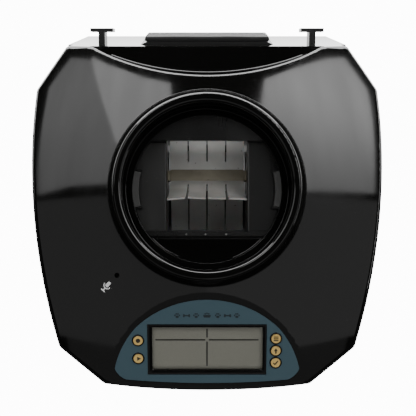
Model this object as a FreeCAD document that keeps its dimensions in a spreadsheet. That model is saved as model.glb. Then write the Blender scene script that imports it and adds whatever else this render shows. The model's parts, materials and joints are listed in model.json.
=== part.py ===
"""Main head of a gravity-fed automatic pet feeder, as a parametric FreeCAD document (millimetres).

The frame: +Z up, +X to the feeder's left seen from the front, the display at -Y and the hanging
hooks at +Y. The origin lies on the hopper collar's axis, in the plane of the underside rim.
"""

import FreeCAD, Part
import math
import os
from types import SimpleNamespace
from FreeCAD import Placement, Rotation, Vector
import Sketcher

SIZES = {
    # casing outline, seen from above
    "body_half_width": 120.0,
    "shoulder_inset": 1.7,
    "shoulder_y": 70.6,
    "rear_corner_inset": 21.0,
    "rear_y": 100.6,
    "tail_inset": 29.5,
    "tail_y": 140.0,
    "front_corner_inset": 19.6,
    "front_corner_setback": 24.8,
    "nose_corner_inset": 50.4,
    "nose_corner_y": -131.2,
    "nose_bulge": 4.2,
    "side_bulge": 8.3,
    "corner_radius": 6.0,
    # casing heights and walls
    "parting_drop": 13.0,
    "dome_rise": 15.6,
    "dome_fall": 28.243,
    "wall_lean": 20.0,
    "edge_radius": 4.5,
    "rim_radius": 3.0,
    "wall": 2.5,
    "floor_height": 1.2,
    "tongue": 2.0,
    "tongue_wall": 1.2,
    "seam_gap": 0.15,
    # hopper collar
    "collar_bore": 56.4,
    "collar_bore_depth": 12.0,
    "collar_crest_width": 4.2,
    "collar_foot_width": 9.6,
    "collar_rise": 18.0,
    "collar_seat_step": 1.7,
    "collar_seat_drop": 8.0,
    # rear ledge
    "ledge_setback": 11.3,
    "ledge_radius": 148.0,
    "ledge_lip_setback": 4.2,
    "ledge_lip_radius": 177.0,
    "ledge_lip_drop": 4.0,
    "ledge_gap": 0.2,
    # display facet, along its own slope
    "facet_tilt": 20.0,
    "facet_reach": 61.0,
    "panel_depth": 0.8,
    "panel_margin": 16.5,
    "panel_top": 4.8,
    "panel_widest": 46.6,
    "panel_bottom": 64.3,
    "panel_corner_inset": 8.1,
    "panel_corner": 61.8,
    "panel_gap": 0.15,
    "screen_centre": 40.1,
    "frame_half_width": 39.8,
    "frame_half_height": 17.9,
    "frame_border": 2.6,
    "button_radius": 3.6,
    "button_offset": 6.3,
    "button_gap": 0.3,
    "button_stand": 0.8,
    "button_travel": 0.6,
    "button_flange": 0.9,
    # microphone
    "mic_hole_radius": 1.7,
    "mic_x": -59.8,
    "mic_setback": 72.6,
    "mic_radius": 4.8,
    # dispensing rotor
    "rotor_y": 14.3,
    "chute_gap": 0.3,
    "rotor_angle": 30.0,
    "flap_reach": 42.0,
    "flap_root": 4.2,
    "flap_thickness": 1.2,
    "flap_half_width": 26.25,
    "flap_slit": 0.7,
    "flap_base": 12.5,
    "rotor_clearance": 1.5,
    "hub_side": 12.0,
    "hub_disc_radius": 13.0,
    "hub_disc": 0.9,
    "disc_gap": 0.35,
    "shaft_radius": 3.0,
    "running_gap": 0.05,
    "bush_radius": 5.0,
    "bush_flange_radius": 7.0,
    "bush_flange": 1.0,
    # feed housing
    "throat_half_width": 27.6,
    "throat_front_y": -29.0,
    "throat_back_y": 33.2,
    "throat_gap": 3.7,
    "throat_flange": 2.5,
    "side_plate_drop": 4.0,
    "front_plate_drop": 7.0,
    "housing_wall": 2.5,
    "outlet_front_y": 5.0,
    "outlet_back_y": 45.0,
    "spout_wall": 2.2,
    "spout_height": 0.4,
    "spout_gap": 0.3,
    # drive
    "gear_module": 1.0,
    "gear_teeth": 40.0,
    "pinion_teeth": 16.0,
    "gear_start": 36.0,
    "gear_width": 6.0,
    "gear_slack": 0.25,
    "gearbox_start": 44.0,
    "gearbox_depth": 22.0,
    "gearbox_half": 12.3,
    "gearbox_plate": 2.0,
    "arbor_radius": 1.5,
    "motor_radius": 12.0,
    "motor_length": 31.0,
    "index_disc_radius": 16.0,
    "index_disc_x": -37.0,
    # battery bay
    "cell_radius": 13.1,
    "cell_length": 50.0,
    "cell_gap": 0.8,
    "bay_inner_x": -50.0,
    "bay_wall": 1.6,
    "contact_room": 4.0,
    "door_gap": 0.4,
    "door_thickness": 2.0,
    "latch_half_width": 9.0,
    "latch_reach": 7.0,
    "hinge_pin_radius": 1.0,
    "knuckle_radius": 1.9,
    "knuckle_length": 12.0,
    # hooks and pad
    "hook_x": 75.9,
    "hook_bar_width": 16.4,
    "hook_bar_thickness": 2.5,
    "hook_stem_width": 4.6,
    "hook_lean": 14.0,
    "hook_length": 18.0,
    "hook_top": 60.0,
    "hook_reach": 11.2,
    "pad_half_width": 44.5,
    "pad_thickness": 4.0,
    "pad_top": 70.0,
    "pad_length": 46.0,
    "boss_thickness": 1.8,
    "boss_overhang": 2.6,
    # fasteners and fittings
    "board_height": 9.0,
    "board_thickness": 1.6,
    "pillar_radius": 3.6,
    "screw_radius": 1.5,
    "screw_head_radius": 2.9,
    "screw_head": 1.8,
    "speaker_radius": 25.0,
    "speaker_x": 62.0,
    "speaker_setback": 71.2,
    "jack_y": 34.0,
    "fitting_height": 18.0,
    "switch_y": 54.0,
    "switch_travel": 3.0,
}

doc = FreeCAD.newDocument("pet_feeder_head")
sheet = doc.addObject("Spreadsheet::Sheet", "dims")
for row, (alias, number) in enumerate(SIZES.items(), start=1):
    sheet.set(f"A{row}", alias)
    sheet.set(f"B{row}", str(number))
    sheet.setAlias(f"B{row}", alias)
doc.recompute()


class Size:
    """A number worked out from the sheet, kept with the expression that ties a property to it."""

    def __init__(self, value, text):
        self.value = float(value)
        self.text = text

    def __add__(self, other):
        other = as_size(other)
        return Size(self.value + other.value, f"({self.text} + {other.text})")

    def __radd__(self, other):
        return as_size(other) + self

    def __sub__(self, other):
        other = as_size(other)
        return Size(self.value - other.value, f"({self.text} - {other.text})")

    def __rsub__(self, other):
        return as_size(other) - self

    def __mul__(self, other):
        other = as_size(other)
        return Size(self.value * other.value, f"({self.text} * {other.text})")

    def __rmul__(self, other):
        return as_size(other) * self

    def __truediv__(self, other):
        other = as_size(other)
        return Size(self.value / other.value, f"({self.text} / {other.text})")

    def __neg__(self):
        return 0 - self


def as_size(number):
    if isinstance(number, Size):
        return number
    return Size(number, f"({number:.10g})")


def root_of(size):
    return Size(math.sqrt(size.value), f"sqrt({size.text})")


def cosine(angle):
    return Size(math.cos(math.radians(angle.value)), f"cos({angle.text})")


def sine(angle):
    return Size(math.sin(math.radians(angle.value)), f"sin({angle.text})")


def tangent(angle):
    return sine(angle) / cosine(angle)


dim = SimpleNamespace(**{alias: Size(sheet.get(alias), f"dims.{alias}") for alias in SIZES})

# Heights stack up from the floor through the rotor, and the front's fittings follow the nose.
dim.front_corner_y = dim.nose_corner_y + dim.front_corner_setback
dim.facet_top_y = dim.nose_corner_y + dim.facet_reach
dim.mic_y = dim.nose_corner_y + dim.mic_setback
dim.speaker_y = dim.nose_corner_y + dim.speaker_setback
dim.cavity_radius = dim.flap_reach + dim.rotor_clearance
dim.chute_bottom = dim.floor_height + dim.wall + dim.chute_gap
dim.rotor_height = dim.chute_bottom + dim.housing_wall + dim.cavity_radius
dim.back_plate_height = dim.rotor_height + dim.flap_reach
dim.side_plate_height = dim.back_plate_height - dim.side_plate_drop
dim.front_plate_height = dim.back_plate_height - dim.front_plate_drop
dim.collar_bore_bottom = dim.back_plate_height
dim.collar_bore_top = dim.collar_bore_bottom + dim.collar_bore_depth
dim.collar_height = dim.collar_bore_bottom + dim.collar_rise
dim.collar_seat_height = dim.collar_bore_bottom - dim.collar_seat_drop
dim.rear_edge_height = dim.collar_seat_height
dim.parting_height = dim.rear_edge_height - dim.parting_drop
dim.dome_top = dim.collar_bore_bottom + dim.dome_rise
corner_x = dim.body_half_width - dim.front_corner_inset
corner_reach = corner_x * corner_x + dim.front_corner_y * dim.front_corner_y
dim.dome_radius = (corner_reach / dim.dome_fall + dim.dome_fall) / 2
dim.collar_crest_radius = dim.collar_bore + dim.collar_crest_width
dim.collar_foot_radius = dim.collar_bore + dim.collar_foot_width
dim.collar_seat_radius = dim.collar_bore - dim.collar_seat_step
dim.collar_wall_radius = dim.collar_bore + dim.collar_seat_step
dim.throat_radius = dim.collar_seat_radius - dim.throat_gap
dim.ledge_front_y = dim.collar_foot_radius + dim.ledge_setback
dim.ledge_lip_y = dim.ledge_front_y + dim.ledge_lip_setback
dim.button_reach = dim.frame_half_width + dim.button_offset
dim.panel_half_width = dim.button_reach + dim.panel_margin
dim.panel_corner_half = dim.panel_half_width - dim.panel_corner_inset

# --- helpers -----------------------------------------------------------------------------------

UP = Vector(0, 0, 1)
ALONG_X = Rotation(Vector(0, 1, 0), 90)
SECTION = Rotation(Vector(1, 1, 1), 120)
parts = {}


def bind(item, prop, size):
    item.setExpression(prop, as_size(size).text)


def place(item, x=0, y=0, z=0, turn=None):
    if turn is not None:
        item.Placement = Placement(Vector(), turn)
    for axis, size in zip("xyz", (x, y, z)):
        bind(item, f"Placement.Base.{axis}", size)
    return item


def box(name, x, y, z, turn=None, at=None):
    """A block between pairs of limits; with at, the limits are in a turned frame at that point."""
    item = doc.addObject("Part::Box", name)
    for prop, (low, high) in zip(("Length", "Width", "Height"), (x, y, z)):
        bind(item, prop, as_size(high) - low)
    corner = (x[0], y[0], z[0])
    if turn is None:
        return place(item, *corner)
    columns = [turn.multVec(Vector(*axis)) for axis in ((1, 0, 0), (0, 1, 0), (0, 0, 1))]
    point = []
    for row, base in enumerate(at):
        total = as_size(base)
        for column, offset in zip(columns, corner):
            total = total + float(column[row]) * as_size(offset)
        point.append(total)
    return place(item, *point, turn=turn)


def rod(name, radius, length, x=0, y=0, z=0, turn=None):
    item = doc.addObject("Part::Cylinder", name)
    bind(item, "Radius", radius)
    bind(item, "Height", length)
    return place(item, x, y, z, turn)


def ball(name, radius, z):
    item = doc.addObject("Part::Sphere", name)
    bind(item, "Radius", radius)
    return place(item, 0, 0, z)


def fuse(name, items):
    if len(items) == 1:
        return items[0]
    item = doc.addObject("Part::MultiFuse", name)
    item.Shapes = items
    return item


def cut(name, base, tools):
    item = doc.addObject("Part::Cut", name)
    item.Base = base
    item.Tool = fuse(f"{name}_tools", tools)
    return item


def common(name, items):
    item = doc.addObject("Part::MultiCommon", name)
    item.Shapes = items
    return item


def group(name, items):
    item = doc.addObject("Part::Compound", name)
    item.Links = items
    return item


def part(name, item):
    """Name a finished sub-part; its label is its file's name."""
    item.Label = name
    parts[name] = item
    return item


def shape_part(name, shape, turn=None, x=0, y=0, z=0):
    item = doc.addObject("Part::Feature", name)
    item.Shape = shape
    return place(item, x, y, z, turn or Rotation())


def draw(sketch, corners):
    """Close an outline through (x, y) corners; a third value bulges the side that follows, to its right."""
    points = [(as_size(c[0]), as_size(c[1])) for c in corners]
    ends = []
    radii = []
    for index, corner in enumerate(corners):
        (x1, y1), (x2, y2) = points[index], points[(index + 1) % len(points)]
        start = Vector(x1.value, y1.value, 0)
        end = Vector(x2.value, y2.value, 0)
        if len(corner) == 2:
            line = sketch.addGeometry(Part.LineSegment(start, end), False)
            ends.append((line, 1, 2))
            continue
        bulge = as_size(corner[2])
        chord = end - start
        middle = (start + end) * 0.5 + Vector(chord.y, -chord.x, 0).normalize() * bulge.value
        arc = sketch.addGeometry(Part.Arc(start, middle, end), False)
        forward = (sketch.getPoint(arc, 1) - start).Length < 1e-6
        ends.append((arc, 1, 2) if forward else (arc, 2, 1))
        square = (x2 - x1) * (x2 - x1) + (y2 - y1) * (y2 - y1)
        radii.append((arc, (square / 4 + bulge * bulge) / (2 * bulge), bulge.value))
    for index, (geometry, start, end) in enumerate(ends):
        after = ends[(index + 1) % len(ends)]
        sketch.addConstraint(Sketcher.Constraint("Coincident", geometry, end, after[0], after[1]))
        for kind, size in zip(("DistanceX", "DistanceY"), points[index]):
            number = sketch.addConstraint(
                Sketcher.Constraint(kind, -1, 1, geometry, start, size.value)
            )
            sketch.setExpression(f"Constraints[{number}]", size.text)
    for arc, radius, sign in radii:
        radius = radius if sign > 0 else -radius
        number = sketch.addConstraint(Sketcher.Constraint("Radius", arc, radius.value))
        sketch.setExpression(f"Constraints[{number}]", radius.text)
    return sketch


def origin_plane(body, role):
    return next(item for item in body.Origin.OriginFeatures if item.Role == role)


def new_sketch(body, name, corners, role="XY_Plane"):
    sketch = body.newObject("Sketcher::SketchObject", name)
    sketch.AttachmentSupport = [(origin_plane(body, role), "")]
    sketch.MapMode = "FlatFace"
    return draw(sketch, corners)


def pad(name, corners, height, x=0, y=0, z=0, turn=None):
    """A body with one padded outline, standing on its own XY plane."""
    body = doc.addObject("PartDesign::Body", name)
    feature = body.newObject("PartDesign::Pad", f"{name}_pad")
    feature.Profile = new_sketch(body, f"{name}_outline", corners)
    bind(feature, "Length", height)
    return place(body, x, y, z, turn)


def turned(name, corners, x=0, y=0, z=0, turn=None):
    """A body turned about its own Z axis from an outline of (radius, height) corners."""
    body = doc.addObject("PartDesign::Body", name)
    feature = body.newObject("PartDesign::Revolution", f"{name}_turn")
    sketch = new_sketch(body, f"{name}_profile", corners, "XZ_Plane")
    feature.Profile = sketch
    feature.ReferenceAxis = (sketch, ["V_Axis"])
    feature.Angle = 360
    return place(body, x, y, z, turn)


def section_block(name, corners, half_width):
    """An outline of (y, z) corners, extruded both ways along X."""
    sketch = draw(doc.addObject("Sketcher::SketchObject", f"{name}_section"), corners)
    sketch.Placement = Placement(Vector(), SECTION)
    item = doc.addObject("Part::Extrusion", name)
    item.Base = sketch
    item.DirMode = "Normal"
    item.Solid = True
    item.Symmetric = True
    bind(item, "LengthFwd", 2 * as_size(half_width))
    return item


def raised(name, profile, z_low, z_high):
    item = doc.addObject("Part::Extrusion", name)
    item.Base = profile
    item.DirMode = "Custom"
    item.Dir = UP
    item.Solid = True
    bind(item, "LengthFwd", as_size(z_high) - z_low)
    return place(item, 0, 0, z_low)


def rounded(name, base, radius, wanted):
    """Round the edges that wanted() picks."""
    doc.recompute()
    item = doc.addObject("Part::Fillet", name)
    item.Base = base
    picked = [n for n, edge in enumerate(base.Shape.Edges, start=1) if wanted(edge)]
    item.Edges = [(n, radius.value, radius.value) for n in picked]
    return item


# --- casing blocks -----------------------------------------------------------------------------

FAR = 200.0


def casing_outline():
    """The casing from above, with its back carried on past the leaning wall."""
    half = dim.body_half_width
    shoulder = half - dim.shoulder_inset
    rear = half - dim.rear_corner_inset
    tail = half - dim.tail_inset
    front = half - dim.front_corner_inset
    nose = half - dim.nose_corner_inset
    corners = [
        (-nose, dim.nose_corner_y, dim.nose_bulge),
        (nose, dim.nose_corner_y),
        (front, dim.front_corner_y, dim.side_bulge),
        (shoulder, dim.shoulder_y),
        (rear, dim.rear_y),
        (tail, dim.tail_y),
        (-tail, dim.tail_y),
        (-rear, dim.rear_y),
        (-shoulder, dim.shoulder_y, dim.side_bulge),
        (-front, dim.front_corner_y),
    ]
    sketch = doc.addObject("Sketcher::SketchObject", "casing_outline")
    return draw(sketch, corners)


outline = casing_outline()


def wall_y(z, inset=0):
    """Where the leaning back wall stands at a height."""
    along = dim.rear_y + (dim.rear_edge_height - z) * tangent(dim.wall_lean)
    return along - as_size(inset) / cosine(dim.wall_lean)


def front_of_wall(name, inset):
    """Everything in front of the leaning wall, set in by inset."""
    low, high = -20.0, 130.0
    corners = [(-FAR, low), (wall_y(low, inset), low), (wall_y(high, inset), high), (-FAR, high)]
    return section_block(name, corners, FAR)


def is_upright(edge):
    if len(edge.Vertexes) != 2:
        return False
    low, high = (v.Point for v in edge.Vertexes)
    return abs(low.x - high.x) + abs(low.y - high.y) < 1e-6


def casing_prism(name, inset, z_low, z_high):
    """The casing's outline between two heights, with its upright corners rounded."""
    inset = as_size(inset)
    prism = raised(f"{name}_prism", outline, z_low - inset, z_high + inset)
    block = rounded(f"{name}_corners", prism, dim.corner_radius, is_upright)
    if not inset.value:
        return block
    shrunk = doc.addObject("Part::Offset", f"{name}_offset")
    shrunk.Source = block
    shrunk.Mode = "Skin"
    shrunk.Join = "Intersection"
    bind(shrunk, "Value", -inset)
    return shrunk


def casing_block(name, inset, z_low, z_high):
    """The casing's solid form between two heights, set in all round by inset."""
    block = casing_prism(name, inset, z_low, z_high)
    return common(name, [block, front_of_wall(f"{name}_front", inset)])


def dome(name, inset):
    """The shallow dome that the casing's top lies on."""
    return ball(name, dim.dome_radius - inset, dim.dome_top - dim.dome_radius)


def dome_height(radius, drop=0):
    """The dome's height at a distance from the collar's axis."""
    reach = dim.dome_radius - drop
    return dim.dome_top - dim.dome_radius + root_of(reach * reach - radius * radius)


facet_turn = Rotation(Vector(1, 0, 0), dim.facet_tilt.value)
facet_point = (as_size(0), dim.facet_top_y, dome_height(dim.facet_top_y))


def on_facet(u, slope, lift):
    """A point by its place across the facet, down its slope and out along its normal."""
    run = -as_size(slope)
    y = facet_point[1] + run * cosine(dim.facet_tilt) - lift * sine(dim.facet_tilt)
    z = facet_point[2] + run * sine(dim.facet_tilt) + lift * cosine(dim.facet_tilt)
    return as_size(u), y, z


def above_facet(name, drop):
    return box(name, (-FAR, FAR), (-FAR, FAR), (-drop, FAR), facet_turn, facet_point)


def ledge_cut(name, inset):
    """The space above the rear ledge, grown by inset."""
    radius = dim.ledge_radius + inset
    centre = dim.ledge_front_y + dim.ledge_radius
    floor = dim.rear_edge_height - dim.wall - inset
    return rod(name, radius, FAR, 0, centre, floor)


# --- top shell ---------------------------------------------------------------------------------


def is_leaning(surface):
    return isinstance(surface, Part.Plane) and 0.1 < abs(surface.Axis.z) < 0.9


def is_ledge(surface):
    return isinstance(surface, Part.Cylinder) and abs(surface.Radius - dim.ledge_radius.value) < 1e-4


def on_surface(base, kind, against=None):
    """A test for the edges of base's faces of one kind, where they meet faces that against() picks."""
    doc.recompute()
    faces = base.Shape.Faces
    own = [e for f in faces if isinstance(f.Surface, kind) for e in f.Edges]
    other = [e for f in faces if against and against(f.Surface) for e in f.Edges]

    def wanted(edge):
        if not any(edge.isSame(e) for e in own):
            return False
        return against is None or any(edge.isSame(e) for e in other)

    return wanted


def pillar_places():
    half = dim.body_half_width
    rear_x = half - 24
    front_x = half - 28
    places = [(sign * rear_x, dim.shoulder_y + 7.4) for sign in (-1, 1)]
    places += [(sign * front_x, dim.front_corner_y + 28.4) for sign in (-1, 1)]
    places += [(as_size(0), dim.nose_corner_y + 4.0), (as_size(0), dim.rear_y - 10.3)]
    return places


def throat_screw_places():
    ring = dim.collar_wall_radius + 4.6
    return [
        (ring * math.cos(math.radians(a)), ring * math.sin(math.radians(a)))
        for a in (40, 140, 220, 320)
    ]


def button_places():
    left = [("record", -1, 33.5), ("play", -1, 46.3)]
    right = [("set", 1, 32.1), ("up", 1, 40.7), ("ok", 1, 49.3)]
    return left + right


def collar():
    foot = dome_height(dim.collar_foot_radius)
    crest = dim.collar_crest_radius
    corners = [
        (dim.collar_wall_radius, dim.collar_seat_height),
        (dim.collar_wall_radius, foot - 6),
        (dim.collar_foot_radius - 0.4, foot - 6),
        (dim.collar_foot_radius, foot + 0.2),
        (crest + 1.8, dim.collar_height - 1.2, 0.5),
        (crest, dim.collar_height),
        (crest - 1.6, dim.collar_height - 0.8),
        (dim.collar_bore, dim.collar_bore_top),
        (dim.collar_bore, dim.collar_bore_bottom),
        (dim.collar_seat_radius, dim.collar_bore_bottom),
        (dim.collar_seat_radius, dim.collar_seat_height),
    ]
    return turned("collar_ring", corners)


def make_top_shell():
    prism = casing_prism("shell_form", 0, dim.parting_height, dim.collar_height)
    domed = common("shell_domed", [prism, dome("shell_dome", 0)])
    eased = rounded("shell_eased", domed, dim.edge_radius, on_surface(domed, Part.Sphere))
    leaned = common("shell_leaned", [eased, front_of_wall("shell_back", 0)])
    back = rounded("shell_back_edge", leaned, dim.edge_radius, on_surface(leaned, Part.Sphere, is_leaning))
    ledged = cut("shell_ledged", back, [ledge_cut("ledge_space", 0)])
    top = rounded("shell_rim", ledged, dim.rim_radius, on_surface(ledged, Part.Sphere, is_ledge))
    faceted = cut("shell_faceted", top, [above_facet("facet_space", 0)])
    inner = casing_block("shell_inner", dim.wall, dim.parting_height - 1, dim.collar_height)
    inner = common("shell_inner_domed", [inner, dome("shell_inner_dome", dim.wall)])
    facet_wall = dim.wall + dim.panel_depth
    inner = cut(
        "shell_hollow",
        inner,
        [above_facet("facet_inner", facet_wall), ledge_cut("ledge_inner", dim.wall)],
    )
    shell = cut("shell_skin", faceted, [inner])
    pillars = [
        rod(f"pillar_{n}", dim.pillar_radius, FAR / 2, x, y, dim.floor_height + dim.wall)
        for n, (x, y) in enumerate(pillar_places())
    ]
    bosses = [
        rod(f"throat_boss_{n}", dim.pillar_radius, FAR / 2, x, y, dim.collar_seat_height)
        for n, (x, y) in enumerate(throat_screw_places())
    ]
    trimmed = common("pillars_domed", [fuse("pillars", pillars + bosses), dome("pillar_dome", 1)])
    over_ledge = ledge_cut("pillar_ledge", 1)
    trimmed = cut("pillars_trimmed", trimmed, [above_facet("pillar_facet", 2), over_ledge])
    whole = fuse("shell_whole", [shell, trimmed, collar()])
    holes = [rod("collar_core", dim.collar_seat_radius, FAR, 0, 0, dim.collar_seat_height)]
    holes.append(rod("collar_upper", dim.collar_bore, FAR, 0, 0, dim.collar_bore_bottom))
    holes.append(rod("mic_hole", dim.mic_hole_radius, FAR, dim.mic_x, dim.mic_y, 80))
    for n, (x, y) in enumerate(pillar_places()):
        holes.append(rod(f"pillar_hole_{n}", dim.screw_radius, 14, x, y, dim.floor_height))
    for n, (x, y) in enumerate(throat_screw_places()):
        holes.append(rod(f"throat_hole_{n}", dim.screw_radius, 9, x, y, dim.collar_seat_height - 1))
    panel = panel_outline("panel_space", 0, dim.panel_depth + 5, -dim.panel_depth)
    holes.append(panel)
    half, tall = dim.frame_half_width + dim.panel_gap, dim.frame_half_height + dim.panel_gap
    centre = on_facet(0, dim.screen_centre, 0)
    holes.append(box("screen_hole", (-half, half), (-tall, tall), (-8, 5), facet_turn, centre))
    for name, side, slope in button_places():
        spot = on_facet(side * dim.button_reach, slope, -8)
        radius = dim.button_radius + dim.button_gap
        holes.append(rod(f"{name}_hole", radius, 12, *spot, facet_turn))
    return part("top_shell", cut("top_shell", whole, holes))


def panel_outline(name, inset, height, lift):
    """The D-shaped display panel, drawn on the facet."""
    half = dim.panel_half_width - inset
    corner = dim.panel_corner_half - inset
    top = -(dim.panel_top + inset)
    widest = -dim.panel_widest
    low = -(dim.panel_corner - inset)
    corners = [
        (-corner, low, dim.panel_bottom - dim.panel_corner),
        (corner, low, 3.2),
        (half, widest, top - widest),
        (-half, widest, 3.2),
    ]
    return pad(name, corners, height, *on_facet(0, 0, lift), facet_turn)


# --- lower housing -----------------------------------------------------------------------------


def speaker_slots():
    slots = []
    for n in range(-3, 4):
        y = dim.speaker_y + 6 * n
        half = math.sqrt(21.0**2 - (6 * n) ** 2)
        span = (dim.speaker_x - half, dim.speaker_x + half)
        slots.append(box(f"speaker_slot_{n + 3}", span, (y - 1.2, y + 1.2), (-1, 6)))
    return slots


def bay_limits():
    """The battery bay's inside, as pairs of limits along X and Y, and its ceiling."""
    across = 2 * (2 * dim.cell_radius + dim.cell_gap) + dim.cell_gap
    half_long = dim.cell_length + dim.contact_room
    outer = dim.bay_inner_x - across
    return (outer, dim.bay_inner_x), (-half_long, half_long)


def cell_height():
    return dim.floor_height + dim.wall + dim.cell_gap + dim.cell_radius


def hinge_point():
    (low, high), (front, back) = bay_limits()
    return back + dim.bay_wall + dim.knuckle_radius + 0.3, dim.floor_height + dim.door_thickness / 2


def latch_place():
    """The middle of the finger latch at the door's front edge."""
    (low, high), (front, back) = bay_limits()
    return (low + high) / 2, front - dim.latch_reach / 2


def make_lower_housing():
    solid = casing_block("base_form", 0, 0, dim.parting_height)
    floor_top = dim.floor_height + dim.wall
    inner = casing_block("base_inner", dim.wall, floor_top, dim.parting_height + 1)
    under = casing_block("base_under", dim.wall, -1, dim.floor_height)
    shell = cut("base_skin", solid, [inner, under])
    inset = dim.wall + dim.seam_gap
    low, high = dim.parting_height - 4, dim.parting_height + dim.tongue
    lip = cut(
        "base_tongue",
        casing_block("tongue_form", inset - dim.seam_gap - 0.4, low, dim.parting_height),
        [casing_block("tongue_inner", inset + dim.tongue_wall, low - 1, high + 1)],
    )
    lip_top = cut(
        "base_tongue_top",
        casing_block("tongue_top_form", inset, dim.parting_height - 1, high),
        [casing_block("tongue_top_inner", inset + dim.tongue_wall, low - 1, high + 2)],
    )
    under_facet = dim.wall + dim.panel_depth + dim.seam_gap
    lip_top = cut("base_tongue_eased", lip_top, [above_facet("tongue_facet", under_facet)])
    whole = fuse("base_whole", [shell, lip, lip_top])
    holes = []
    for n, (x, y) in enumerate(pillar_places()):
        holes.append(rod(f"base_screw_{n}", dim.screw_radius + 0.3, 9, x, y, -1))
        holes.append(rod(f"base_sink_{n}", dim.screw_head_radius + 0.3, 2.5, x, y, 0))
    gap = dim.spout_gap + dim.spout_wall
    side = dim.throat_half_width + gap
    span = (dim.outlet_front_y - gap, dim.outlet_back_y + gap)
    holes.append(box("spout_hole", (-side, side), span, (-1, 6)))
    (low_x, high_x), (front, back) = bay_limits()
    hinge_y, _ = hinge_point()
    door_end = hinge_y + dim.knuckle_radius + 0.5
    holes.append(box("door_hole", (low_x, high_x), (front, door_end), (-1, 6)))
    latch_x, _ = latch_place()
    span = (latch_x - dim.latch_half_width, latch_x + dim.latch_half_width)
    holes.append(box("door_latch_hole", span, (front - dim.latch_reach, front + 1), (-1, 6)))
    holes += speaker_slots()
    deep = dim.body_half_width
    height = dim.fitting_height
    holes.append(rod("jack_hole", 4.2, 20, deep - 15, dim.jack_y, height, ALONG_X))
    knob = (dim.switch_y - 3.2, dim.switch_y + 3.2 + dim.switch_travel)
    holes.append(box("switch_hole", (deep - 15, deep + 5), knob, (height - 2.4, height + 2.4)))
    floored = cut("base_opened", whole, holes)
    additions = [hinge_lug(door_end)]
    for n, (x, y) in enumerate(board_screw_places()):
        outer = rod(f"post_{n}", 3, dim.board_height - floor_top + 0.5, x, y, floor_top - 0.5)
        additions.append(cut(f"board_post_{n}", outer, [rod(f"post_bore_{n}", 1.2, 10, x, y, 4.5)]))
    return part("lower_housing", fuse("lower_housing", [floored] + additions))


def hinge_lug(door_end):
    """The middle knuckle of the battery door's hinge, grown from the housing's floor."""
    (low, high), _ = bay_limits()
    y, z = hinge_point()
    inset = dim.door_gap + dim.knuckle_length + 0.4
    span = (low + inset, high - inset)
    barrel = rod("lug_barrel", dim.knuckle_radius, span[1] - span[0], span[0], y, z, ALONG_X)
    web = box("lug_web", span, (y, door_end + 0.5), (z, z + dim.wall / 2))
    bore = rod("lug_bore", dim.hinge_pin_radius, high - low, low, y, z, ALONG_X)
    return cut("hinge_lug", fuse("lug_solid", [barrel, web]), [bore])


def make_rear_ledge():
    """The flat ledge behind the dome, with the curved lip that stands along its front."""
    centre = dim.ledge_front_y + dim.ledge_radius
    sweep = rod(
        "ledge_sweep", dim.ledge_radius - dim.ledge_gap, FAR, 0, centre, dim.rear_edge_height - dim.wall
    )
    form = casing_block("ledge_form", 0.3, dim.parting_height, dim.collar_height)
    lowered = ball("lip_dome", dim.dome_radius, dim.dome_top - dim.dome_radius - dim.ledge_lip_drop)
    block = common("ledge_block", [form, sweep, lowered])
    lip_centre = dim.ledge_lip_y + dim.ledge_lip_radius
    clear = rod("ledge_clear", dim.ledge_lip_radius, FAR, 0, lip_centre, dim.rear_edge_height)
    return part("rear_ledge", cut("rear_ledge", block, [clear]))


# --- hooks and pad -----------------------------------------------------------------------------


def make_hook(name, side):
    """A T-section rail whose stem is rooted on the leaning wall."""
    half_bar = dim.hook_bar_width / 2
    half_stem = dim.hook_stem_width / 2
    neck = -dim.hook_bar_thickness
    root = -(dim.hook_reach + 9)
    corners = [
        (-half_stem, root),
        (half_stem, root),
        (half_stem, neck),
        (half_bar, neck),
        (half_bar, 0),
        (-half_bar, 0),
        (-half_bar, neck),
        (-half_stem, neck),
    ]
    lean = Rotation(Vector(1, 0, 0), dim.hook_lean.value)
    z = dim.hook_top - dim.hook_length * cosine(dim.hook_lean)
    y = wall_y(dim.hook_top) + dim.hook_reach + dim.hook_length * sine(dim.hook_lean)
    rail = pad(f"{name}_rail", corners, dim.hook_length, side * dim.hook_x, y, z, lean)
    return part(name, cut(name, rail, [front_of_wall(f"{name}_wall", as_size(0))]))


def on_wall(z, lift):
    """A point on the leaning wall at a height, moved out along the wall's normal."""
    return (
        as_size(0),
        wall_y(z) + lift * cosine(dim.wall_lean),
        z + lift * sine(dim.wall_lean),
    )


def make_pad():
    lean = Rotation(Vector(1, 0, 0), dim.wall_lean.value)
    half, thick = dim.pad_half_width, dim.boss_thickness
    spot = on_wall(dim.pad_top, 0)
    reach = half + dim.boss_overhang
    corners = [(-reach, 0), (reach, 0), (half - 2, thick), (-(half - 2), thick)]
    length = dim.pad_length + 2
    boss = pad("boss_strip", corners, length, *spot, lean)
    start = dim.pad_top - length * cosine(dim.wall_lean) - 1
    place(boss, 0, wall_y(start), start)
    part("pad_boss", boss)
    low = (-dim.pad_length, 0)
    outer = (thick, thick + dim.pad_thickness)
    strip = box("rear_pad", (-half, half), outer, low, lean, spot)
    return part("rear_pad", strip)


# --- display -----------------------------------------------------------------------------------


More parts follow.
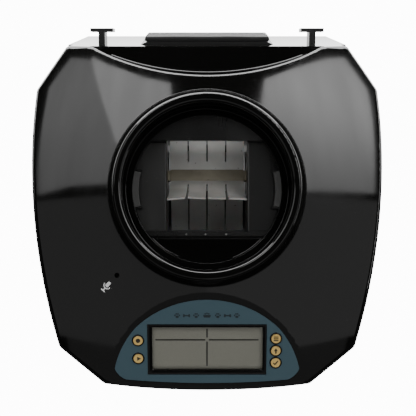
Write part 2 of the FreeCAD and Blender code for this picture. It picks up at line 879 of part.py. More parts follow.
def make_display():
    plate = panel_outline("panel_plate", dim.panel_gap, dim.panel_depth, -dim.panel_depth)
    centre = on_facet(0, dim.screen_centre, 0)
    half, tall = dim.frame_half_width, dim.frame_half_height
    gap = dim.panel_gap
    holes = [
        box("panel_window", (-half - gap, half + gap), (-tall - gap, tall + gap), (-5, 5), facet_turn, centre)
    ]
    for name, side, slope in button_places():
        spot = on_facet(side * dim.button_reach, slope, -8)
        holes.append(rod(f"panel_{name}", dim.button_radius + dim.button_gap, 12, *spot, facet_turn))
    part("display_panel", cut("display_panel", plate, holes))

    border = dim.frame_border
    deep = dim.wall + dim.panel_depth
    outer = box("frame_outer", (-half, half), (-tall, tall), (-deep, 0.2), facet_turn, centre)
    wide, high = half - border, tall - border
    window = box("frame_window", (-wide, wide), (-high, high), (-deep - 1, 2), facet_turn, centre)
    part("display_frame", cut("display_frame", outer, [window]))

    lens = box("screen_lens", (-wide, wide), (-high, high), (-deep, -deep + 1), facet_turn, centre)
    part("screen_lens", lens)
    cell_rows = (-tall + 0.2, tall + 2)
    cell = box("screen_cell", (-half - 2, half + 2), cell_rows, (-deep - 3.2, -deep), facet_turn, centre)
    part("screen_cell", cell)

    board_top = display_board_top()
    board_low = board_top - dim.board_thickness
    edge = dim.button_reach + 12
    board = box("board_blank", (-edge, edge), (-19, 24), (board_low, board_top), facet_turn, centre)
    notches = [
        rod(f"display_board_hole_{n}", 1.3, 12, *on_facet(u, slope, board_top - 6), facet_turn)
        for n, (u, slope) in enumerate(display_screw_places())
    ]
    part("display_board", cut("display_board", board, notches))
    switches = []
    for name, side, slope in button_places():
        spot = on_facet(side * dim.button_reach, slope, 0)
        body = box(f"{name}_key", (-3, 3), (-3, 3), (board_top, board_top + 1.6), facet_turn, spot)
        lift = board_top + 1.6
        top = -deep - dim.button_gap - dim.button_flange - dim.button_travel - 0.05
        foot = on_facet(side * dim.button_reach, slope, lift)
        stem = rod(f"{name}_key_stem", 1.6, top - lift, *foot, facet_turn)
        switches.append(fuse(f"{name}_switch", [body, stem]))
        lower = top + dim.button_travel + 0.05
        cap = [
            (0, lower),
            (dim.button_radius + dim.button_gap + 0.25, lower),
            (dim.button_radius + dim.button_gap + 0.25, lower + dim.button_flange),
            (dim.button_radius, lower + dim.button_flange),
            (dim.button_radius, dim.button_stand - 0.4, 0.15),
            (dim.button_radius - 0.5, dim.button_stand),
            (0, dim.button_stand),
        ]
        part(f"{name}_button", turned(f"{name}_button", cap, *spot, facet_turn))
    part("key_switches", group("key_switches", switches))


def display_board_top():
    return -(dim.wall + dim.panel_depth + 5.2)


def display_screw_places():
    reach = dim.button_reach + 7
    return [(u, slope) for u in (-reach, reach) for slope in (19.5, 56.5)]


def screw_profile(radius, length, head_radius=None, head=None):
    """A pan-head screw: its head hangs below the seat at height 0 and its shank stands up."""
    head_radius = as_size(head_radius or radius * 1.9)
    head = as_size(head or 1.4)
    return [
        (0, -head),
        (head_radius - 0.6, -head),
        (head_radius, -head + 0.6),
        (head_radius, 0),
        (radius, 0),
        (radius, length - 0.8 * radius),
        (0, length),
    ]


# --- electronics -------------------------------------------------------------------------------


def board_screw_places():
    return [(x, dim.nose_corner_y + y) for x in (-54, 20) for y in (19, 61)]


def make_electronics():
    top = dome_height(root_of(dim.mic_x * dim.mic_x + dim.mic_y * dim.mic_y) + dim.mic_radius, dim.wall) - 0.4
    profile = [(0, -6.2), (4.2, -6.2), (dim.mic_radius, -5.6), (dim.mic_radius, -0.6), (4.2, 0), (0, 0)]
    part("mic_capsule", turned("mic_capsule", profile, dim.mic_x, dim.mic_y, top))

    floor_top = dim.floor_height + dim.wall
    ring = dim.speaker_radius
    basket = [
        (21.5, 0),
        (ring, 0),
        (ring, 2),
        (21.5, 4),
        (13, 10),
        (13, 16),
        (0, 16),
        (0, 9),
        (12, 9),
    ]
    part("speaker_basket", turned("speaker_basket", basket, dim.speaker_x, dim.speaker_y, floor_top))
    cone = [(0, 4.4), (5, 3.4), (9, 6.2), (19.4, 1.2), (19.4, 1.9), (9, 7.2), (5, 4.4), (0, 5.4)]
    part("speaker_cone", turned("speaker_cone", cone, dim.speaker_x, dim.speaker_y, floor_top))

    board_top = dim.board_height + dim.board_thickness
    front = dim.nose_corner_y
    edges = (front + 15, front + 65)
    board = box("main_board_blank", (-58, 24), edges, (dim.board_height, board_top))
    holes = [
        rod(f"board_hole_{n}", 1.3, 8, x, y, dim.board_height - 3)
        for n, (x, y) in enumerate(board_screw_places())
    ]
    part("main_board", cut("main_board", board, holes))
    turn = Rotation(Vector(1, 0, 0), 180)
    screws = [
        turned(f"board_screw_{n}", screw_profile(1.2, 4.5), x, y, board_top, turn)
        for n, (x, y) in enumerate(board_screw_places())
    ]
    for n, (u, slope) in enumerate(display_screw_places()):
        spot = on_facet(u, slope, display_board_top() - dim.board_thickness)
        screws.append(turned(f"board_screw_{n + 4}", screw_profile(1.2, 4.5), *spot, facet_turn))
    part("board_screws", group("board_screws", screws))
    chips = [
        box("chip_large", (-30, -12), (front + 35, front + 47), (board_top, board_top + 2.4)),
        box("chip_small", (0, 8), (front + 41, front + 47), (board_top, board_top + 1.8)),
        rod("capacitor_a", 4, 11, -42, front + 51, board_top),
        rod("capacitor_b", 4, 11, -42, front + 41, board_top),
        box("plug_socket_a", (-8, 6), (front + 17, front + 23), (board_top, board_top + 5.4)),
        box("plug_socket_b", (-34, -14), (front + 55, front + 61), (board_top, board_top + 5.4)),
    ]
    part("board_parts", group("board_parts", chips))

    deep = dim.body_half_width
    inner = side_wall_x(dim.jack_y)
    profile = [(0, -13), (4.0, -13), (4.0, 0), (2.9, 0), (2.9, -10), (1.0, -10), (1.0, -2), (0, -2)]
    part("power_jack", turned("power_jack", profile, inner - 0.6, dim.jack_y, dim.fitting_height, ALONG_X))
    height = dim.fitting_height
    y_mid = dim.switch_y + dim.switch_travel / 2
    inner = side_wall_x(y_mid + 9) - dim.wall
    body = box("switch_case", (inner - 6, inner - 0.2), (y_mid - 9, y_mid + 9), (height - 5, height + 5))
    slot = box(
        "switch_slot",
        (inner - 2, inner + 1),
        (dim.switch_y - 3, dim.switch_y + 3 + dim.switch_travel),
        (height - 2.2, height + 2.2),
    )
    part("switch_body", cut("switch_body", body, [slot]))
    knob = [
        box(
            "knob_stem",
            (inner - 1.8, inner + dim.wall + 1.6),
            (dim.switch_y - 2.7, dim.switch_y + 2.7),
            (height - 1.9, height + 1.9),
        )
    ]
    part("switch_knob", knob[0])


def side_wall_x(y):
    """The casing's half width at a place along its curved side."""
    half = dim.body_half_width
    x1, y1 = half - dim.front_corner_inset, dim.front_corner_y
    x2, y2 = half - dim.shoulder_inset, dim.shoulder_y
    share = (y - y1) / (y2 - y1)
    chord = root_of((x2 - x1) * (x2 - x1) + (y2 - y1) * (y2 - y1))
    lift = 4 * dim.side_bulge * share * (1 - share) * chord / (y2 - y1)
    return x1 + (x2 - x1) * share + lift


# --- feed housing ------------------------------------------------------------------------------

cavity_half = dim.throat_half_width + dim.hub_disc + 2 * dim.disc_gap
housing_half = cavity_half + dim.housing_wall
housing_reach = dim.cavity_radius + dim.housing_wall
housing_y = (dim.rotor_y - housing_reach, dim.rotor_y + housing_reach)


def ear_places():
    x = housing_half + 3.6
    return [(sign * x, y) for sign in (-1, 1) for y in (housing_y[0] + 5, housing_y[1] - 5)]


def rotor_rod(name, radius, half_length):
    return rod(name, radius, 2 * half_length, -half_length, dim.rotor_y, dim.rotor_height, ALONG_X)


def make_feed_throat():
    seat = dim.collar_seat_height
    flange_low = seat - dim.throat_flange
    side = (-housing_half, housing_half)
    solids = [
        rod("throat_flange_disc", dim.collar_wall_radius, dim.throat_flange, 0, 0, flange_low),
        rod("throat_cap", dim.throat_radius, dim.back_plate_height - flange_low, 0, 0, flange_low),
        box("throat_box", side, housing_y, (dim.rotor_height, flange_low + 1)),
    ]
    for n, (x, y) in enumerate(ear_places()):
        solids.append(rod(f"throat_ear_{n}", 4, 10, x, y, dim.rotor_height))
    for n, (x, y) in enumerate(throat_screw_places()):
        solids.append(rod(f"throat_lug_{n}", 5, dim.throat_flange, x, y, flange_low))
    body = fuse("throat_body", solids)
    far = dim.throat_radius + 5
    high = (dim.side_plate_height, dim.back_plate_height + 5)
    front_high = (dim.front_plate_height, dim.back_plate_height + 5)
    lip_y = dim.throat_front_y - 2.6
    mouth = (-dim.throat_half_width, dim.throat_half_width)
    opening = (dim.throat_front_y, dim.throat_back_y)
    cuts = [
        rotor_rod("throat_cavity", dim.cavity_radius, dim.throat_half_width),
        rotor_rod("throat_disc_room", dim.hub_disc_radius + 1, cavity_half),
        rotor_rod("throat_bush_hole", dim.bush_radius, housing_half + 5),
        box("throat_opening", mouth, opening, (dim.rotor_height, 100)),
        box("side_step", (-far, far), (lip_y, dim.throat_back_y), high),
        box("front_step", (-far, far), (-far, lip_y), front_high),
    ]
    for n, (x, y) in enumerate(ear_places()):
        cuts.append(rod(f"throat_ear_hole_{n}", dim.screw_radius, 8, x, y, dim.rotor_height - 1))
    for n, (x, y) in enumerate(throat_screw_places()):
        cuts.append(rod(f"throat_lug_hole_{n}", dim.screw_radius + 0.2, 8, x, y, flange_low - 2))
    pin_y = -(dim.throat_radius + dim.collar_seat_radius) / 2
    cuts.append(rod("stop_pin_hole", 0.9, 4, 2.5, pin_y, flange_low - 0.5))
    lower = cut("throat_moulding", body, cuts)
    tabs = []
    for side_sign in (-1, 1):
        name = f"tab_{side_sign + 1}"
        ring = cut(
            f"{name}_ring",
            rod(f"{name}_outer", dim.throat_radius, 3, 0, 0, dim.side_plate_height - 0.5),
            [rod(f"{name}_inner", dim.throat_radius - 5, 5, 0, 0, dim.side_plate_height - 1)],
        )
        x_span = (40, 60) if side_sign > 0 else (-60, -40)
        window = box(f"{name}_window", x_span, (-13, 13), (80, 100))
        tabs.append(common(name, [ring, window]))
    part("feed_throat", fuse("feed_throat", [lower] + tabs))
    pin = [(0, 0), (0.9, 0), (0.9, 6.5), (0.5, 7), (0, 7)]
    part("stop_pin", turned("stop_pin", pin, 2.5, pin_y, flange_low))
    screws = [
        turned(f"throat_screw_{n}", screw_profile(dim.screw_radius, 8), x, y, flange_low)
        for n, (x, y) in enumerate(throat_screw_places())
    ]
    part("throat_screws", group("throat_screws", screws))


def make_chute_housing():
    side = (-housing_half, housing_half)
    bottom = dim.chute_bottom
    half = dim.throat_half_width
    spout = dim.spout_wall
    outlet = (dim.outlet_front_y, dim.outlet_back_y)
    solids = [
        box("chute_box", side, housing_y, (bottom, dim.rotor_height)),
        box(
            "chute_spout",
            (-half - spout, half + spout),
            (outlet[0] - spout, outlet[1] + spout),
            (dim.spout_height, bottom + 1),
        ),
    ]
    for n, (x, y) in enumerate(ear_places()):
        solids.append(rod(f"chute_ear_{n}", 4, 8, x, y, dim.rotor_height - 8))
    for n, (y, z) in enumerate(gearbox_screw_places()):
        length = dim.gearbox_start - housing_half
        solids.append(rod(f"chute_boss_{n}", 3.4, length, housing_half, y, z, ALONG_X))
    cuts = [
        rotor_rod("chute_cavity", dim.cavity_radius, dim.throat_half_width),
        rotor_rod("chute_disc_room", dim.hub_disc_radius + 1, cavity_half),
        rotor_rod("chute_bush_hole", dim.bush_radius, housing_half + 5),
        box("chute_outlet", (-half, half), outlet, (-5, dim.rotor_height)),
    ]
    for n, (x, y) in enumerate(ear_places()):
        cuts.append(rod(f"chute_ear_hole_{n}", dim.screw_radius + 0.2, 12, x, y, dim.rotor_height - 10))
    for n, (y, z) in enumerate(gearbox_screw_places()):
        cuts.append(rod(f"chute_boss_hole_{n}", 1.2, 8, dim.gearbox_start - 7, y, z, ALONG_X))
    part("chute_housing", cut("chute_housing", fuse("chute_body", solids), cuts))
    screws = [
        turned(f"housing_screw_{n}", screw_profile(dim.screw_radius, 14), x, y, dim.rotor_height - 8)
        for n, (x, y) in enumerate(ear_places())
    ]
    part("housing_screws", group("housing_screws", screws))


# --- rotor -------------------------------------------------------------------------------------


def involute_gear(teeth, module, width, slack):
    """A spur gear's solid, its flanks thinned by slack, turned so that a gap between teeth faces +X."""
    pitch = module * teeth / 2
    pressure = math.radians(20)
    base = pitch * math.cos(pressure)
    tip = pitch + 0.9 * module
    root = pitch - 1.2 * module
    half_tooth = math.pi / (2 * teeth) - slack / pitch
    offset = math.tan(pressure) - pressure

    def flank(radius, side, centre):
        turn = math.acos(min(1.0, base / radius))
        angle = centre + side * (half_tooth + offset - math.tan(turn) + turn)
        return Vector(radius * math.cos(angle), radius * math.sin(angle), 0)

    start = max(base, root) + 0.02
    middle = (start + tip) / 2
    edges = []
    step = 2 * math.pi / teeth
    for n in range(round(teeth)):
        centre = (n + 0.5) * step
        low = [flank(start, -1, centre), flank(middle, -1, centre), flank(tip, -1, centre)]
        high = [flank(tip, 1, centre), flank(middle, 1, centre), flank(start, 1, centre)]
        foot_in = Vector(low[0]).normalize() * root
        foot_out = Vector(high[2]).normalize() * root
        after = Vector(flank(start, -1, centre + step)).normalize() * root
        edges.append(Part.LineSegment(foot_in, low[0]).toShape())
        edges.append(Part.Arc(*low).toShape())
        edges.append(Part.LineSegment(low[2], high[0]).toShape())
        edges.append(Part.Arc(*high).toShape())
        edges.append(Part.LineSegment(high[2], foot_out).toShape())
        edges.append(Part.LineSegment(foot_out, after).toShape())
    return Part.Face(Part.Wire(edges)).extrude(Vector(0, 0, width))


def gear_blank(teeth):
    return involute_gear(teeth.value, dim.gear_module.value, dim.gear_width.value, dim.gear_slack.value)


def collar_on(length, radius):
    """A plain collar on the far side of a gear."""
    return Part.makeCylinder(radius, length, Vector(0, 0, -length))


def bush_face():
    """How far out a bush's flange stands."""
    return cavity_half + dim.housing_wall + dim.bush_flange


def pinion_height():
    spread = dim.gear_module * (dim.gear_teeth + dim.pinion_teeth) / 2
    return dim.rotor_height - spread


def gearbox_screw_places():
    z = pinion_height() - 8
    return [(dim.rotor_y - 18.3, z), (dim.rotor_y + 18.3, z)]


def make_rotor():
    half_side = dim.hub_side / 2
    half_hub = cavity_half - dim.disc_gap
    length = 2 * half_hub
    square = [(-half_side, -half_side), (half_side, -half_side)]
    square += [(half_side, half_side), (-half_side, half_side)]
    turn = Rotation(Vector(1, 0, 0), dim.rotor_angle.value).multiply(ALONG_X)
    bar = pad("hub_bar", square, length, -half_hub, dim.rotor_y, dim.rotor_height, turn)
    discs = [
        rod(f"hub_disc_{n}", dim.hub_disc_radius, dim.hub_disc, x, dim.rotor_y, dim.rotor_height, ALONG_X)
        for n, x in enumerate((-half_hub, half_hub - dim.hub_disc))
    ]
    cuts = [rotor_rod("hub_bore", dim.shaft_radius, half_hub + 1)]
    slot = dim.flap_thickness / 2
    for n in range(4):
        spin = Rotation(Vector(1, 0, 0), dim.rotor_angle.value + 90 * n)
        reach = (dim.flap_root, half_side + 1)
        width = (-dim.flap_half_width, dim.flap_half_width)
        centre = (as_size(0), dim.rotor_y, dim.rotor_height)
        cuts.append(box(f"hub_slot_{n}", width, reach, (-slot, slot), spin, centre))
        blade = box(
            f"flap_blank_{n}", width, (dim.flap_root, dim.flap_reach), (-slot, slot), spin, centre
        )
        finger = dim.flap_half_width / 2
        slits = [
            box(
                f"flap_slit_{n}_{k}",
                (k * finger - dim.flap_slit / 2, k * finger + dim.flap_slit / 2),
                (dim.flap_base, dim.flap_reach + 1),
                (-2, 2),
                spin,
                centre,
            )
            for k in (-1, 0, 1)
        ]
        name = f"rotor_flap_{n + 1}"
        part(name, cut(name, blade, slits))
    part("rotor_hub", cut("rotor_hub", fuse("hub_solid", [bar] + discs), cuts))

    left = -(dim.index_disc_x - 4)
    right = dim.gear_start + dim.gear_width + 4
    spot = (dim.rotor_y, dim.rotor_height)
    shaft = rod("rotor_shaft", dim.shaft_radius, left + right, -left, *spot, ALONG_X)
    part("rotor_shaft", shaft)
    inner = dim.shaft_radius + dim.running_gap
    flange = dim.bush_flange_radius
    thick = dim.bush_flange
    long = dim.housing_wall + thick
    shoulder = long - thick
    ring = [(inner, 0), (dim.bush_radius, 0), (dim.bush_radius, shoulder)]
    ring += [(flange, shoulder), (flange, long), (inner, long)]
    for side, name in ((-1, "bush_left"), (1, "bush_right")):
        turn = ALONG_X if side > 0 else ALONG_X.inverted()
        part(name, turned(name, ring, side * cavity_half, *spot, turn))
    length = (dim.gear_start - bush_face() - 0.2).value
    shape = gear_blank(dim.gear_teeth).fuse(collar_on(length, 5.5)).removeSplitter()
    width = dim.gear_width.value + length
    shape = shape.cut(Part.makeCylinder(dim.shaft_radius.value, width, Vector(0, 0, -length)))
    part("rotor_gear", shape_part("rotor_gear", shape, ALONG_X, dim.gear_start, *spot))
    clips = []
    for n, x in enumerate((dim.gear_start + dim.gear_width, dim.index_disc_x - 1.5 - 0.8)):
        ring = [(dim.shaft_radius, 0), (5.4, 0), (5.4, 0.8), (dim.shaft_radius, 0.8)]
        clips.append(turned(f"shaft_clip_{n}", ring, x, *spot, ALONG_X))
    part("shaft_clips", group("shaft_clips", clips))

    rim = dim.index_disc_radius
    disc = rod("index_blank", rim, 1.5, dim.index_disc_x - 1.5, *spot, ALONG_X)
    hub = rod("index_hub", 6, -dim.index_disc_x - bush_face() - 0.2, dim.index_disc_x, *spot, ALONG_X)
    notches = [rod("index_bore", dim.shaft_radius, 10, dim.index_disc_x - 5, *spot, ALONG_X)]
    for n in range(4):
        spin = Rotation(Vector(1, 0, 0), 90.0 * n)
        centre = (dim.index_disc_x, dim.rotor_y, dim.rotor_height)
        notches.append(box(f"index_notch_{n}", (-4, 1), (rim - 5, rim + 2), (-1.5, 1.5), spin, centre))
    part("index_disc", cut("index_disc", fuse("index_solid", [disc, hub]), notches))
    x = dim.index_disc_x - 0.75
    reach = dim.rotor_y + rim
    z = dim.rotor_height
    block = box("sensor_block", (x - 6, -housing_half), (reach - 4, reach + 7), (z - 4, z + 4))
    gap = box("sensor_gap", (x - 2.4, x + 2.4), (reach - 5, reach + 2), (z - 5, z + 5))
    part("index_sensor", cut("index_sensor", block, [gap]))


def make_drive():
    z = pinion_height()
    spot = (dim.rotor_y, z)
    start = dim.gearbox_start
    arbor = Part.makeCylinder(dim.arbor_radius.value, (start - dim.gear_start + 2.5).value)
    shape = gear_blank(dim.pinion_teeth).fuse([arbor, collar_on(0.5, 4.0)]).removeSplitter()
    turn = ALONG_X.multiply(Rotation(UP, gear_phase()))
    part("motor_pinion", shape_part("motor_pinion", shape, turn, dim.gear_start, *spot))
    half = dim.gearbox_half
    end = start + dim.gearbox_depth
    ears = (dim.rotor_y - 23, dim.rotor_y + 23)
    plate = box("gearbox_plate", (start, start + dim.gearbox_plate), ears, (z - half, z + half))
    case = box("gearbox_case", (start, end), (dim.rotor_y - half, dim.rotor_y + half), (z - half, z + half))
    cuts = [rod("gearbox_bore", dim.arbor_radius + dim.running_gap, 4, start - 1, *spot, ALONG_X)]
    for n, (y, height) in enumerate(gearbox_screw_places()):
        cuts.append(rod(f"gearbox_hole_{n}", 1.4, 6, start - 2, y, height, ALONG_X))
    part("gearbox", cut("gearbox", fuse("gearbox_solid", [plate, case]), cuts))
    turn = ALONG_X.inverted()
    screws = [
        turned(f"gearbox_screw_{n}", screw_profile(1.2, 7.5, 2.4), start + dim.gearbox_plate, y, height, turn)
        for n, (y, height) in enumerate(gearbox_screw_places())
    ]
    part("gearbox_screws", group("gearbox_screws", screws))
    radius = dim.motor_radius
    long = dim.motor_length
    can = [
        (0, 0),
        (radius, 0),
        (radius, long - 1.5, 0.3),
        (radius - 1.5, long),
        (4, long),
        (4, long + 2),
        (0, long + 2),
    ]
    part("drive_motor", turned("drive_motor", can, end, *spot, ALONG_X))


def gear_phase():
    """Turn the pinion so that one of its teeth stands in the gear's lowest gap."""
    gear_step = 360.0 / dim.gear_teeth.value
    pinion_step = 360.0 / dim.pinion_teeth.value
    low_gap = 0.0
    while low_gap < 180.0 - gear_step / 2:
        low_gap += gear_step
    return (180.0 - low_gap) * dim.gear_teeth.value / dim.pinion_teeth.value * -1 + pinion_step / 2


# --- batteries ---------------------------------------------------------------------------------


def make_batteries():
    (low, high), (front, back) = bay_limits()
    floor_top = dim.floor_height + dim.wall
    wall = dim.bay_wall
    ceiling = cell_height() + dim.cell_radius + dim.cell_gap
    heights = (floor_top, ceiling + wall)
    outer = box("bay_outer", (low - wall, high + wall), (front - wall, back + wall), heights)
    inner = box("bay_inner", (low, high), (front, back), (floor_top - 1, ceiling))
    middle, latch_y = latch_place()
    rib = box("bay_rib", (middle - 0.6, middle + 0.6), (front + 9, back - 9), (ceiling - 6, ceiling + 0.5))
    part("battery_bay", fuse("battery_bay", [cut("bay_shell", outer, [inner]), rib]))
    radius = dim.cell_radius
    pitch = 2 * radius + dim.cell_gap
    turns = {1: Rotation(Vector(1, 0, 0), -90), -1: Rotation(Vector(1, 0, 0), 90)}
    number = 0
    can = [
        (0, 0),
        (radius - 0.8, 0),
        (radius, 0.8),
        (radius, dim.cell_length - 2.4),
        (radius - 0.8, dim.cell_length - 1.6),
        (3.6, dim.cell_length - 1.6),
        (3.6, dim.cell_length - 0.2),
        (0, dim.cell_length - 0.2),
    ]
    contacts_front, contacts_back = [], []
    for column, facing in ((0, 1), (1, -1)):
        x = low + dim.cell_gap + radius + column * pitch
        for row in (0, 1):
            number += 1
            y = facing * (row - 1) * dim.cell_length
            name = f"battery_cell_{number}"
            part(name, turned(name, can, x, y, cell_height(), turns[facing]))
        plate = (x - 7, x + 7)
        tall = (cell_height() - 7, cell_height() + 7)
        tip = (x - 3, x + 3)
        short = (cell_height() - 3, cell_height() + 3)
        room = dim.cell_length + 0.05
        contacts_front.append(
            fuse(f"contact_front_{column}", [
                box(f"front_plate_{column}", plate, (front, front + 0.6), tall),
                box(f"front_leaf_{column}", tip, (front + 0.3, -room), short),
            ])
        )
        contacts_back.append(
            fuse(f"contact_back_{column}", [
                box(f"back_plate_{column}", plate, (back - 0.6, back), tall),
                box(f"back_leaf_{column}", tip, (room, back - 0.3), short),
            ])
        )
    part("contacts_front", group("contacts_front", contacts_front))
    part("contacts_back", group("contacts_back", contacts_back))

    gap = dim.door_gap
    hinge_y, hinge_z = hinge_point()
    thick = (dim.floor_height, dim.floor_height + dim.door_thickness)
    plate = box("door_plate", (low + gap, high - gap), (front + gap, hinge_y), thick)
    latch_half = dim.latch_half_width - gap
    latch = box(
        "door_latch",
        (middle - latch_half, middle + latch_half),
        (front - dim.latch_reach + gap, front + gap + 1),
        thick,
    )
    knuckles = []
    for n, start in enumerate((low + gap, high - gap - dim.knuckle_length)):
        knuckles.append(
            rod(f"knuckle_{n}", dim.knuckle_radius, dim.knuckle_length, start, hinge_y, hinge_z, ALONG_X)
        )
    inset = gap + dim.knuckle_length
    lug_reach = (hinge_y - dim.knuckle_radius - 0.4, hinge_y + 3)
    lug_room = box("door_lug_room", (low + inset, high - inset), lug_reach, (-2, 8))
    solid = cut("door_solid", fuse("door_blank", [plate, latch] + knuckles), [lug_room])
    bore = dim.hinge_pin_radius + dim.running_gap
    dish_top = dim.floor_height + 0.9
    holes = [
        rod("hinge_bore", bore, high - low, low, hinge_y, hinge_z, ALONG_X),
        box("latch_dish", (middle - 6, middle + 6), (latch_y - 2.5, latch_y + 2), (0, dish_top)),
    ]
    for side in (-1, 1):
        edge = middle + side * (latch_half + 1.0)
        holes.append(box(f"latch_slit_{side + 1}", (edge - 0.5, edge + 0.5), (front - 1, front + 9), (-2, 6)))
    for n in range(5):
        y = front + 14 + 3 * n
        holes.append(box(f"grip_{n}", (middle - 9, middle + 9), (y, y + 1.2), (0, dim.floor_height + 0.5)))
    part("battery_door", cut("battery_door", solid, holes))
    pin = rod("hinge_pin", dim.hinge_pin_radius, high - low - 2 * gap, low + gap, hinge_y, hinge_z, ALONG_X)
    part("hinge_pin", pin)


def make_case_screws():
    screws = []
    for n, (x, y) in enumerate(pillar_places()):
        profile = screw_profile(dim.screw_radius, 11, dim.screw_head_radius, 1.1)
        screws.append(turned(f"case_screw_{n}", profile, x, y, dim.floor_height + 1.3))
    part("case_screws", group("case_screws", screws))


make_top_shell()
make_lower_housing()
make_rear_ledge()
make_hook("t_hook_left", -1)
make_hook("t_hook_right", 1)
make_pad()
make_display()
make_electronics()
make_feed_throat()
make_chute_housing()
make_rotor()
make_drive()
make_batteries()
make_case_screws()
doc.recompute()

faults = [item.Name for item in doc.Objects if {"Invalid", "Error"} & set(item.State)]
if faults:
    raise RuntimeError(f"objects that failed: {faults}")
os.makedirs("parts", exist_ok=True)
for name, item in parts.items():
    shape = item.Shape
    if shape.isNull() or not shape.isValid() or not shape.Solids:
        raise RuntimeError(f"{name} is not a valid solid")
    shape.exportStep(f"parts/{name}.step")
    print(f"{name}: {len(shape.Solids)} solid(s), {shape.Volume / 1000:.2f} cm3")
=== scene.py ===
"""Looks of the pet feeder's dispensing head: finishes, detailed pieces, lights and camera (metres)."""

import json
import math
import random

import bmesh
import bpy
from mathutils import Matrix, Vector, geometry


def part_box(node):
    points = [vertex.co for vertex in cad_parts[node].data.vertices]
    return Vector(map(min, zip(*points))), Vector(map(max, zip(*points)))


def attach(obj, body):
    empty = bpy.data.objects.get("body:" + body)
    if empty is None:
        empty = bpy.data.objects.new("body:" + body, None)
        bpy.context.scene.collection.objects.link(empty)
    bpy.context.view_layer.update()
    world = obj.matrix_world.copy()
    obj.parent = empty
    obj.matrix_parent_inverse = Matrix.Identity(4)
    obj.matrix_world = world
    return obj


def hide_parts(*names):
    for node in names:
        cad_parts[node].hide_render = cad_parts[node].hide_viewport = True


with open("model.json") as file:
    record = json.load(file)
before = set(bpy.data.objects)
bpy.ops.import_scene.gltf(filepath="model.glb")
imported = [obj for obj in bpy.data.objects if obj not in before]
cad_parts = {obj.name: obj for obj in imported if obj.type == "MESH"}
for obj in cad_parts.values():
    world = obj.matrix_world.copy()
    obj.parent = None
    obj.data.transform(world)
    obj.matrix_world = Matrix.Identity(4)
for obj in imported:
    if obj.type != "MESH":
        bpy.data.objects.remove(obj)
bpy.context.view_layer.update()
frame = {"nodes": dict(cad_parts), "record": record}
nodes = frame["nodes"]
MM = 0.001

# --- camera ---

view_data = bpy.data.cameras.new("view")
view = bpy.data.objects.new("view", view_data)
bpy.context.scene.collection.objects.link(view)
view.location = (0, -0.0837, 0.7763)
view.rotation_euler = (math.radians(5.9), 0, 0)
view_data.lens = 88.2
view_data.sensor_width = 36
view_data.shift_x = 0.0024
bpy.context.scene.camera = view

# --- modelling by hand ---


def clear():
    bpy.ops.object.select_all(action="DESELECT")


def edit():
    bpy.ops.object.mode_set(mode="EDIT")


def leave_edit():
    bpy.ops.object.mode_set(mode="OBJECT")


def select_everything():
    bpy.ops.mesh.select_all(action="SELECT")


def take(piece):
    """Make one piece the only selected and active object."""
    clear()
    piece.select_set(True)
    bpy.context.view_layer.objects.active = piece


def pick(wanted, kind="FACE"):
    """Select the faces, edges or corners of the piece being edited that wanted() says yes to."""
    mesh = bpy.context.edit_object.data
    shape = bmesh.from_edit_mesh(mesh)
    shape.normal_update()
    bpy.context.tool_settings.mesh_select_mode = (kind == "VERT", kind == "EDGE", kind == "FACE")
    for group in (shape.verts, shape.edges, shape.faces):
        for item in group:
            item.select = False
    chosen = {"VERT": shape.verts, "EDGE": shape.edges, "FACE": shape.faces}[kind]
    for item in chosen:
        if wanted(item):
            item.select_set(True)
    shape.select_flush_mode()
    bmesh.update_edit_mesh(mesh)


def middle(item):
    """The middle of a face, edge or corner."""
    if isinstance(item, bmesh.types.BMVert):
        return item.co
    if isinstance(item, bmesh.types.BMEdge):
        return (item.verts[0].co + item.verts[1].co) / 2
    return item.calc_center_median()


def started(name):
    piece = bpy.context.object
    piece.name = name
    piece.data.name = name
    return piece


def new_block(name, size, at=(0, 0, 0)):
    clear()
    bpy.ops.mesh.primitive_cube_add(size=1, location=at)
    piece = started(name)
    piece.scale = size
    settle(piece)
    return piece


def new_rod(name, radius, length, at=(0, 0, 0), sides=48, turn=(0, 0, 0)):
    clear()
    bpy.ops.mesh.primitive_cylinder_add(
        vertices=sides, radius=radius, depth=length, location=at, rotation=turn
    )
    piece = started(name)
    settle(piece)
    return piece


def new_outline(name, corners):
    """A flat face through the given corners."""
    clear()
    bpy.ops.mesh.primitive_circle_add(vertices=len(corners), radius=1, fill_type="NGON")
    piece = started(name)
    for vertex, corner in zip(piece.data.vertices, corners):
        vertex.co = corner
    return piece


def settle(piece):
    """Put the piece's place into its mesh."""
    take(piece)
    bpy.ops.object.transform_apply(location=True, rotation=True, scale=True)


def finish_with(piece, kind, **values):
    """Add a modifier and apply it."""
    take(piece)
    modifier = piece.modifiers.new(kind.lower(), kind)
    for key, value in values.items():
        setattr(modifier, key, value)
    bpy.ops.object.modifier_apply(modifier=modifier.name)
    return piece


def ease(piece, width, segments=3, angle=40):
    """Round the sharp edges."""
    return finish_with(
        piece, "BEVEL", width=width, segments=segments, limit_method="ANGLE",
        angle_limit=math.radians(angle),
    )


def smooth(piece, angle=40):
    take(piece)
    bpy.ops.object.shade_smooth_by_angle(angle=math.radians(angle))
    return finish_with(piece, "WEIGHTED_NORMAL", keep_sharp=True)


def recalculate(piece):
    take(piece)
    edit()
    select_everything()
    bpy.ops.mesh.remove_doubles(threshold=1e-6)
    bpy.ops.mesh.normals_make_consistent(inside=False)
    leave_edit()


def reshape(piece, move):
    """Let move() change the place of each corner."""
    take(piece)
    edit()
    shape = bmesh.from_edit_mesh(piece.data)
    for corner in shape.verts:
        move(corner.co)
    bmesh.update_edit_mesh(piece.data)
    leave_edit()


def cut_with(piece, cutter, operation="DIFFERENCE"):
    finish_with(piece, "BOOLEAN", object=cutter, operation=operation, solver="EXACT")
    bpy.data.objects.remove(cutter)


